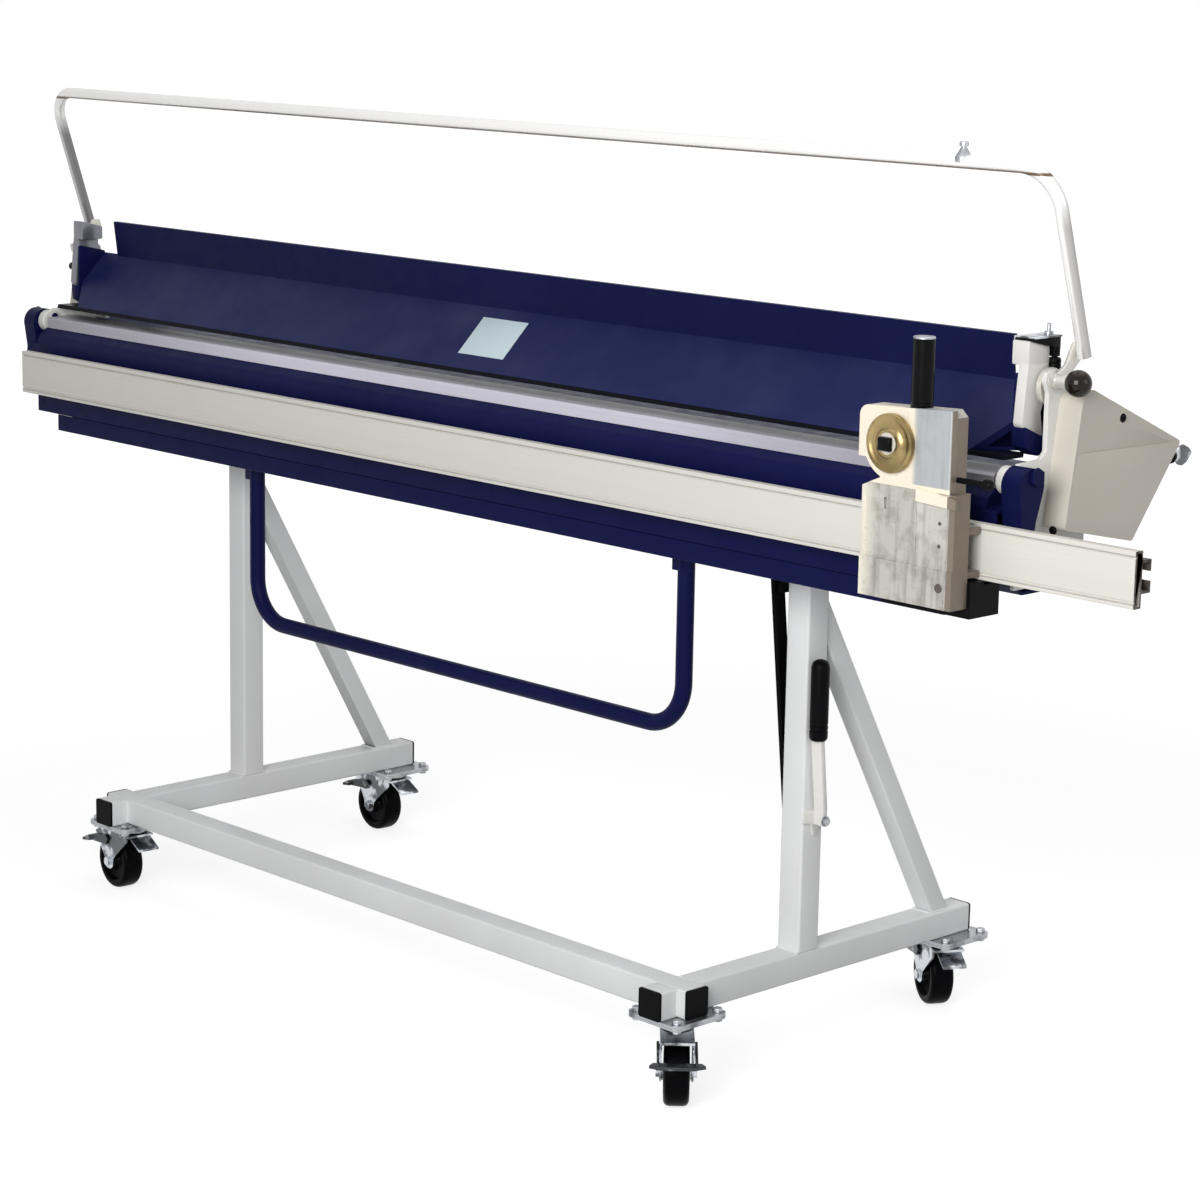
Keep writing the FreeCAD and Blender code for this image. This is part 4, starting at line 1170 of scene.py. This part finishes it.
@dataclass
class PlateBolts:
    """Hexagon bolts and nuts on the caster plates and the post plates."""

    side_x: float = 695.0
    rows: Pair = (-158.5, 450.0)
    spacing: Pair = (42.0, 43.0)
    post_y: float = 102.5
    post_spacing: Pair = (44.0, 36.0)
    plate_top: float = 132.4
    plate_low: float = 123.9
    post_plate_low: float = 805.0
    head: float = 6.5
    nut: float = 5.3

    def build(self) -> None:
        """Makes all bolts as one group."""
        bm = bmesh.new()
        for side, x_way, y_way in product(Side, (-1, 1), (-1, 1)):
            middle = side.value * self.side_x
            for y in self.rows:
                spot = (middle + x_way * self.spacing[0], y + y_way * self.spacing[1])
                hex_prism(bm, at(*spot, self.plate_top), self.head)
                hex_prism(bm, at(*spot, self.plate_low - self.nut), self.nut)
            spot = (middle + x_way * self.post_spacing[0], self.post_y + y_way * self.post_spacing[1])
            hex_prism(bm, at(*spot, self.post_plate_low - self.nut), self.nut)
        bmesh.ops.recalc_face_normals(bm, faces=bm.faces)
        put("plate_bolts", bm, DULL_ZINC, "stand", "zinc")


@dataclass
class CoverScrews:
    """Domed screws on the faces and front flanges of the two end covers."""

    face: Point = (1205.0, 178.0, 1054.0)
    flange: Point = (1183.0, 61.9, 905.0)
    radius: float = 6.5

    def dome(self, high: float) -> Profile:
        """Profile of a screw head of a height, with a round recess."""
        r = self.radius
        return [(0.0, 0.0), (0.0, r), (high * 0.35, r - 0.3), (high * 0.8, r * 0.7),
                (high, r * 0.45), (high * 0.5, r * 0.36), (high * 0.4, 0.0)]

    def build(self) -> None:
        """Makes the four screws."""
        for side in Side:
            way = side.value
            for name, place, axis, high, sign in (
                    ("face", self.face, Axis.X, 2.9, way), ("flange", self.flange, Axis.Y, 3.4, -1)):
                head = [(a * sign, r) for a, r in self.dome(high)]
                bm = lathe(axis, at(place[0] * way, *place[1:]), head, 40)
                put(f"{name}_screw_{side.tag}", bm, BLACK_PAINT, "stand", "black_steel")


@dataclass
class ClampEnds:
    """Clamp beam with cleared ends, its end feet and the two leaning arms."""

    beam_end: float = 1113.0
    beam_cut: float = 15.0
    nose_clear: float = 40.0
    gusset_span: Pair = (1120.6, 1126.0)
    foot_span: Pair = (1120.8, 1146.0)
    stud: Pair = (1143.0, 98.5)
    pin: Pair = (47.0, 1078.0)
    head_low: float = 1130.0
    arm_top: float = 1164.0
    leg_inner: float = 1126.0
    arm_outer: float = 1143.0
    nodes: tuple[str, ...] = ("clamp_beam", "right_clamp_arm", "left_clamp_arm", "clamp_adjusters")

    def beam(self) -> None:
        """Eased copy of the beam, cut back behind the arms and clipped at its nose."""
        bm = merged_copy("clamp_beam")
        for side in Side:
            way = side.value
            cut_away(bm, at(way * (self.beam_end + self.beam_cut), 0.0, 0.0), (way, 0.0, 0.0))
            cut_away(bm, at(way * self.beam_end, self.nose_clear, 0.0), (way, -1.0, 0.0))
        bmesh.ops.recalc_face_normals(bm, faces=bm.faces)
        # Faces that lean up towards the front get the lighter navy: painted light.
        for face in bm.faces:
            face.material_index = 0 if face.normal.y < -0.3 and face.normal.z > 0.3 else 1
        piece = put("clamp_beam_cleared", bm, LIT_SLOPE_NAVY, "clamp", "navy_body", "clamp_beam")
        piece.data.materials.append(NAVY.material())
        live_easing(piece, 0.8)

    def plate(self, name: str, side: Side, corners: Profile, span: Pair, ease: float, finish: Finish,
              slot: str, node: str = "") -> None:
        """Plate across the machine that rides on the clamp, over a span counted outwards."""
        bm = slab(Axis.X, corners, side.places(span), ease)
        put(f"{name}_{side.tag}", bm, finish, "clamp", slot, node)

    def arm(self, side: Side, finish: Finish) -> None:
        """Arm with an overhanging head and a leaning leg, and the gusset and foot beside it.

        Args:
            side: Which end.
            finish: Finish of the arm.
        """
        head, outer = self.head_low, self.arm_outer
        self.plate("arm_head", side, [
            (42.0, head), (88.0, head), (88.0, 1153.0), (76.0, 1157.0), (46.0, self.arm_top),
            (42.0, self.arm_top),
        ], (self.beam_end, outer), 2.2, finish, "white_steel", f"{side.tag}_clamp_arm")
        self.plate("arm_leg", side, [
            (42.0, head + 4.0), (37.5, 1090.0), (34.0, 1050.0), (37.0, 1045.0), (77.0, 1026.0),
            (80.0, 1030.0), (74.0, 1064.0), (93.0, 1110.0), (92.0, 1116.0), (87.0, 1120.0),
            (87.0, head + 4.0),
        ], (self.leg_inner, outer - 0.1), 1.6, finish, "white_steel")
        self.plate("clamp_gusset", side, [
            (39.0, 1040.0), (40.5, 1117.0), (45.0, 1119.0), (97.0, 1108.0), (98.5, 1104.0),
            (98.5, 1096.0), (60.0, 1040.0),
        ], self.gusset_span, 0.8, NAVY, "navy_body")
        self.plate("clamp_foot", side, [
            (38.0, 1046.0), (39.5, 1017.0), (66.0, 1003.6), (97.0, 1003.6), (98.5, 1034.0),
            (84.0, 1036.0), (77.0, 1030.0),
        ], self.foot_span, 1.2, NAVY, "navy_body")

    def clevis(self) -> None:
        """Bright top plate, black clevis, stud and knob behind the right arm's head, and a black wedge under the
        plate that is painted shade.
        """
        right, (x, y) = Side.RIGHT, self.stud
        # The black wedge fills the gap under the top plate: painted shade.
        self.plate("clevis_wedge", right, [
            (44.0, 1164.4), (76.0, 1157.4), (89.0, 1153.4), (y + 5.0, 1153.0), (y + 5.0, 1167.0),
            (44.0, 1167.0),
        ], (1115.0, 1149.0), 0.8, BLACK_PAINT, "black_steel", "clamp_adjusters")
        knob = [
            (1120.5, 0.0), (1120.5, 7.0), (1122.0, 8.8), (1125.0, 9.4), (1129.0, 9.4), (1130.0, 8.8),
            (1131.0, 9.4), (1135.0, 9.4), (1137.6, 8.4), (1138.6, 6.4), (1138.6, 4.0), (1141.0, 4.0),
            (1141.0, 0.0),
        ]
        stud = [(1169.8, 0.0), (1169.8, 6.5), (1173.4, 6.5), (1174.2, 3.0), (1184.0, 3.0),
                (1184.8, 2.4), (1184.8, 0.0)]
        top = rectangle((1113.5, 1150.0), (45.0, y + 7.0))
        low = rectangle((x - 6.0, x + 6.0), (y - 7.0, y + 5.0))
        for name, bm, finish in (
                ("plate", slab(Axis.Z, top, (1167.0, 1169.8), 0.9), BRIGHT_ZINC),
                ("block", slab(Axis.Z, low, (1140.0, 1154.0), 1.2), BLACK_PAINT),
                ("knob", lathe(Axis.Z, at(x, y, 0.0), knob, 40), BLACK_PAINT),
                ("stud", lathe(Axis.Z, at(x - 12.0, y, 0.0), stud, 24), DULL_ZINC)):
            put(f"clevis_{name}_{right.tag}", bm, finish, "clamp", "black_steel")

    def arm_pin(self) -> None:
        """Short black pin through the left arm."""
        centre = at(-self.arm_outer, *self.pin)
        profile = [(0.0, 0.0), (0.0, 7.0), (13.6, 7.0), (15.0, 5.6), (15.0, 0.0)]
        bm = lathe(Axis.X, centre, profile, 32)
        bmesh.ops.rotate(bm, cent=centre, matrix=Matrix.Rotation(math.pi, 3, "Z"), verts=bm.verts)
        put(f"arm_pin_{Side.LEFT.tag}", bm, BLACK_PAINT, "clamp", "black_steel")

    def build(self) -> None:
        """Makes the beam and both ends."""
        self.beam()
        # The left arm is the same white part as the right; its grey finish is painted shade.
        self.arm(Side.LEFT, SHADED_ARM_GREY)
        self.arm(Side.RIGHT, ARM_WHITE)
        self.clevis()
        self.arm_pin()


@dataclass
class EndFrames:
    """White end plates with the hinge lugs, seen between the arms and the covers."""

    plate: Pair = (1157.0, 1165.0)
    rib: Pair = (1130.0, 1157.0)
    rib_deep: Pair = (104.3, 112.0)
    rib_high: Pair = (977.0, 1060.0)
    tab: Pair = (1165.0, 1195.0)
    tab_deep: Pair = (66.5, 70.5)
    tab_high: Pair = (912.0, 932.0)
    lug_inner: float = 1147.0
    lug: Pair = (-5.0, 978.0)
    lug_radius: float = 20.0
    nodes: tuple[str, ...] = ("right_end_frame", "left_end_frame")

    def lug_ring(self) -> Profile:
        """Closed profile of the round lug, open at the fold pin."""
        low, high, r = self.lug_inner, self.plate[1], self.lug_radius
        return [(low, 8.0), (low, r - 1.5), (low + 1.5, r), (high - 1.0, r), (high, r - 1.0),
                (high, 8.0), (low, 8.0)]

    def build(self) -> None:
        """Makes both end frames."""
        outline = [
            (5.0, 824.0), (155.0, 824.0), (155.0, 905.0), (165.0, 938.0), (220.0, 1014.0),
            (211.0, 1050.0), (97.0, 1104.0), (86.0, 1120.0), (72.0, 1126.0), (57.0, 1122.0),
            (54.0, 1110.0), (62.0, 1094.0), (62.0, 1012.0), (50.0, 1002.0), (5.0, 1000.0),
        ]
        rib = rectangle(self.rib_deep, self.rib_high)
        for side in Side:
            tab = rectangle(side.places(self.tab), self.tab_high)
            plate = slab(Axis.X, outline, side.places(self.plate), 0.8)
            lug = lathe(Axis.X, at(0.0, *self.lug), side.turned(self.lug_ring()), 64)
            for name, bm, node in (
                    ("end_plate", plate, f"{side.tag}_end_frame"), ("hinge_lug", lug, ""),
                    ("guide_rib", slab(Axis.X, rib, side.places(self.rib), 0.8), ""),
                    ("cover_tab", slab(Axis.Y, tab, self.tab_deep, 0.8), "")):
                put(f"{name}_{side.tag}", bm, ARM_WHITE, "stand", "navy_body", node)


@dataclass
class Latches:
    """Bright wing latches on the rear edge of the covers."""

    place: Pair = (1185.0, 984.0)
    seat: float = 314.0
    leaf_start: float = 9.0
    half_thickness: float = 2.6
    nodes: tuple[str, ...] = ("cover_latches",)

    def build(self) -> None:
        """Makes both latches."""
        x, z = self.place
        boss = [
            (0.0, 0.0), (0.0, 9.0), (3.0, 9.0), (3.6, 10.5), (7.0, 10.5), (8.0, 9.4), (14.0, 7.0),
            (15.0, 6.0), (15.0, 0.0),
        ]
        leaf = [
            (0.0, -5.0), (8.0, -6.5), (16.0, -14.0), (24.0, -16.0), (34.0, -12.0), (44.0, -2.0),
            (47.0, 2.0), (38.0, 10.0), (26.0, 15.0), (16.0, 12.0), (8.0, 6.5), (0.0, 5.0),
        ]
        outline = [(self.seat + self.leaf_start + y, z + high) for y, high in leaf]
        for side in Side:
            middle, thick = side.value * x, self.half_thickness
            put(f"latch_boss_{side.tag}", lathe(Axis.Y, at(middle, self.seat, z), boss, 48), BLACK_PAINT,
                "stand", "black_steel", "cover_latches" if side is Side.RIGHT else "")
            wing = slab(Axis.X, outline, (middle - thick, middle + thick), 1.5)
            put(f"latch_wing_{side.tag}", wing, BRIGHT_ZINC, "stand", "black_steel")


@dataclass
class PostLever:
    """Slim white lever on the right post with its bolt and clip."""

    x: float = 731.5
    half: float = 10.0
    thin: float = 5.0
    pivot: Pair = (104.0, 388.0)
    top: Pair = (93.0, 516.0)
    post_face: float = 717.5
    nodes: tuple[str, ...] = ("lever_stem", "lever_bracket")

    def build(self) -> None:
        """Makes the stem, its bolt and the clip."""
        (y, z), thin, face = self.pivot, self.thin, self.post_face
        high_y, high_z = self.top
        stem = slab(Axis.X, [
            (y - thin, z - 8.0), (y + thin, z - 8.0), (y + thin, z + 22.0), (high_y + thin, high_z),
            (high_y - thin, high_z), (y - thin, z + 22.0),
        ], (self.x - self.half + 0.2, self.x + self.half), 1.6)
        put("lever_bar", stem, ARM_WHITE, "post_lever", "black_steel", "lever_stem")
        head = [(0.0, 0.0), (0.0, 8.5), (1.2, 8.5), (1.2, 6.6), (5.0, 6.2), (6.0, 5.0), (6.0, 0.0)]
        bolt = lathe(Axis.X, at(self.x + self.half, y, z), head, 40)
        put("lever_bolt", bolt, DULL_ZINC, "post_lever", "black_steel")
        clip = slab(Axis.X, [
            (78.0, 384.0), (78.0, 401.0), (128.5, 401.0), (128.5, 384.0), (117.0, 380.0),
            (108.0, 362.0), (101.0, 362.0), (95.0, 380.0),
        ], (face, face + 4.0), 1.0)
        put("lever_clip", clip, ARM_WHITE, "stand", "black_steel", "lever_bracket")
        rear = slab(Axis.Y, rectangle((face - 30.0, face + 3.8), (384.0, 401.0)), (125.0, 129.0), 0.8)
        put("lever_clip_rear", rear, ARM_WHITE, "stand", "black_steel")


@dataclass
class WeldBeads:
    """Painted weld seams where the stand's square tubes meet."""

    radius: float = 2.4
    ripple: float = 0.25
    pitch: float = 2.6
    side_x: float = 695.0
    tube: float = 45.0
    rail_top: float = 177.4
    post: Pair = (80.0, 125.0)
    brace_x: Pair = (677.5, 712.5)
    brace_y: Pair = (393.7, 439.0)
    rail_faces: Pair = (-136.0, -181.0)

    def bead(self, start: Point, end: Point) -> Mesh:
        """One straight seam with its ripples.

        Args:
            start: Its first end, in the machine's millimetres.
            end: Its other end.

        Returns:
            The closed mesh.
        """
        first, last = at(*start), at(*end)
        along = last - first
        steps = max(4, round(along.length / (self.pitch * MM)))
        bm = bmesh.new()
        turn = Vector(Axis.Z.value).rotation_difference(along).to_matrix().to_4x4()
        bmesh.ops.create_circle(bm, cap_ends=True, radius=self.radius * MM, segments=10,
                                matrix=Matrix.Translation(first) @ turn)
        face = bm.faces[:]
        for index in range(1, steps + 1):
            grown = bmesh.ops.extrude_face_region(bm, geom=face)["geom"]
            ring = moved_verts(grown)
            if index > 1:
                bmesh.ops.delete(bm, geom=face, context="FACES_ONLY")
            face = [g for g in grown if isinstance(g, bmesh.types.BMFace)]
            bmesh.ops.translate(bm, vec=along / steps, verts=ring)
            middle = sum((v.co for v in ring), Vector()) / len(ring)
            share = 1 + self.ripple * (1 if index % 2 else -1) / 2
            for vert in ring:
                vert.co = middle + (vert.co - middle).normalized() * self.radius * share * MM
        bmesh.ops.recalc_face_normals(bm, faces=bm.faces)
        return bm

    def runs(self) -> list[tuple[Point, Point]]:
        """Seams of the right half of the stand."""
        tube_x = (self.side_x - self.tube / 2, self.side_x + self.tube / 2)
        top, (near, far), rear = self.rail_top, self.brace_y, self.post[1]
        low, high = top - self.tube + 4.0, top - 4.0
        left, right = self.brace_x
        return [
            *(((tube_x[0], y, top), (tube_x[1], y, top)) for y in self.post),
            *(((left, y, top), (right, y, top)) for y in (far, near)),
            *(((x, near, top), (x, far, top)) for x in self.brace_x),
            *(((x, y, low), (x, y, high)) for y in self.rail_faces for x in tube_x),
            ((left, rear, 732.0), (right, rear, 732.0)),
            *(((x, rear, 670.0), (x, rear, 730.0)) for x in self.brace_x),
        ]

    def build(self) -> None:
        """Makes the seams of both halves."""
        for side in Side:
            for index, run in enumerate(self.runs()):
                ends = ((x * side.value, y, z) for x, y, z in run)
                put(f"weld_{side.tag}_{index:02d}", self.bead(*ends), FRAME_WHITE, "stand",
                    "white_frame")


@dataclass
class BeamFace:
    """What lies on the clamp beam's inclined face: one bare plate."""

    x_span: Pair = (-23.0, 86.0)
    lower: Pair = (24.0, 1030.56)
    upper: Pair = (80.0, 1085.4)
    thickness: float = 0.8
    lift: float = 0.3

    def build(self) -> None:
        """Makes the bare plate."""
        run, rise = self.upper[0] - self.lower[0], self.upper[1] - self.lower[1]
        turn = Matrix.Rotation(math.atan2(rise, run), 3, "X")
        normal = Vector((0.0, -rise, run)).normalized()
        middle = at(sum(self.x_span) / 2, self.lower[0] + run / 2, self.lower[1] + rise / 2)
        size = (self.x_span[1] - self.x_span[0], math.hypot(run, rise), self.thickness)
        bm = block(size, middle + normal * self.lift * MM, 0.25, turn)
        put("bare_plate", bm, BARE_PLATE, "clamp", "white_steel")


@dataclass
class Studio:
    """Pale floor, plain soft lamps, white surroundings and the camera."""

    camera_place: Point = (3871.2, -3379.9, 1674.6)
    azimuth: float = 46.194
    elevation: float = 11.499
    roll: float = 1.058
    focal_pixels: float = 3181.9
    sensor: float = 36.0
    floor_side: float = 60.0
    floor_fade: Pair = (1.6, 5.0)
    floor_glow: Pair = (0.78, 1.0)
    floor_colour: Colour = (0.42, 0.42, 0.42, 1.0)
    daylight: Colour = (0.97, 0.98, 1.0, 1.0)
    daylight_strength: float = 0.25

    def camera(self) -> None:
        """Puts the camera where the photograph was taken from."""
        az, el, roll = (math.radians(a) for a in (self.azimuth, self.elevation, self.roll))
        back = Vector((math.sin(az) * math.cos(el), -math.cos(az) * math.cos(el), math.sin(el)))
        right = Vector(Axis.Z.value).cross(back).normalized()
        up = back.cross(right)
        turn = Matrix((right * math.cos(roll) + up * math.sin(roll),
                       up * math.cos(roll) - right * math.sin(roll), back)).transposed()
        data = bpy.data.cameras.new("camera")
        data.sensor_width = self.sensor
        data.lens = self.focal_pixels / IMAGE_SIDE * self.sensor
        camera = bpy.data.objects.new("camera", data)
        camera.matrix_world = Matrix.Translation(at(*self.camera_place)) @ turn.to_4x4()
        bpy.context.scene.collection.objects.link(camera)
        bpy.context.scene.camera = camera

    def lamp(self, name: str, place: Point, target: Point, side: float, watts: float) -> None:
        """Square soft lamp.

        Args:
            name: Name of the lamp.
            place: Where it stands, in metres from the machine's zero.
            target: What it faces.
            side: Its side in metres.
            watts: Its power.
        """
        data = bpy.data.lights.new(name, "AREA")
        data.size = side
        data.energy = watts
        lamp = bpy.data.objects.new(name, data)
        lamp.location = ZERO + Vector(place)
        lamp.rotation_mode = "QUATERNION"
        lamp.rotation_quaternion = (Vector(target) - Vector(place)).to_track_quat("-Z", "Y")
        bpy.context.scene.collection.objects.link(lamp)

    def floor(self) -> None:
        """Pale floor that reads as white and keeps a soft shadow."""
        bm = bmesh.new()
        bmesh.ops.create_grid(bm, x_segments=1, y_segments=1, size=self.floor_side / 2)
        mesh = bpy.data.meshes.new("floor")
        bm.to_mesh(mesh)
        bm.free()
        floor = bpy.data.objects.new("floor", mesh)
        bpy.context.scene.collection.objects.link(floor)
        material = bpy.data.materials.new("pale_floor")
        sheet = NodeTree(material, "OutputMaterial")
        path = sheet.add("LightPath").outputs
        seen = sheet.either(path["Is Camera Ray"], path["Is Glossy Ray"])
        reach = sheet.length(sheet.add("TexCoord").outputs["Object"])
        far = sheet.ranged(reach, self.floor_fade, self.floor_glow)
        glow = sheet.add("Emission", Strength=sheet.product(seen, far))
        diffuse = sheet.add("BsdfDiffuse", Color=self.floor_colour)
        both = sheet.add("AddShader", diffuse.outputs[0], glow.outputs[0])
        sheet.fill(sheet.output, both.outputs[0])
        mesh.materials.append(material)

    def world(self) -> None:
        """White surroundings for the camera and for reflections, dimmer as a lamp."""
        world = bpy.data.worlds.new("white_room")
        bpy.context.scene.world = world
        sheet = NodeTree(world, "OutputWorld")
        light = sheet.add("Background", Color=self.daylight, Strength=self.daylight_strength)
        shown = sheet.add("Background", Color=(1.0, 1.0, 1.0, 1.0), Strength=1.0)
        path = sheet.add("LightPath").outputs
        clear = sheet.either(sheet.either(path["Is Camera Ray"], path["Is Transmission Ray"]),
                             path["Is Glossy Ray"])
        choice = sheet.add("MixShader", clear, light.outputs[0], shown.outputs[0])
        sheet.fill(sheet.output, choice.outputs[0])

    def build(self) -> None:
        """Sets up the whole studio."""
        self.floor()
        self.world()
        self.lamp("key_lamp", (2.0, -2.9, 1.9), (0.5, 0.0, 0.7), 1.8, 98.0)
        self.lamp("top_lamp", (0.4, 0.6, 4.2), (0.0, 0.0, 0.6), 3.5, 38.0)
        self.lamp("end_lamp", (2.9, 0.5, 1.7), (1.2, 0.1, 1.05), 0.9, 5.0)
        self.camera()
        bpy.context.scene.view_settings.view_transform = "Standard"


def main() -> None:
    """Builds every sub-assembly in order."""
    logging.basicConfig(level=logging.INFO)
    makers = (CasterWheels(), RollerCutter(), RoundCaps(), BailAndHandle(), ClampEnds(), EndFrames(),
              Latches(), PostLever())
    StandardParts().build({node for maker in makers for node in maker.nodes})
    for maker in (*makers, PlateBolts(), CoverScrews(), WeldBeads(), BeamFace(), Studio()):
        maker.build()
        LOG.info("finished %s", type(maker).__name__)


if __name__ == "__main__":
    main()
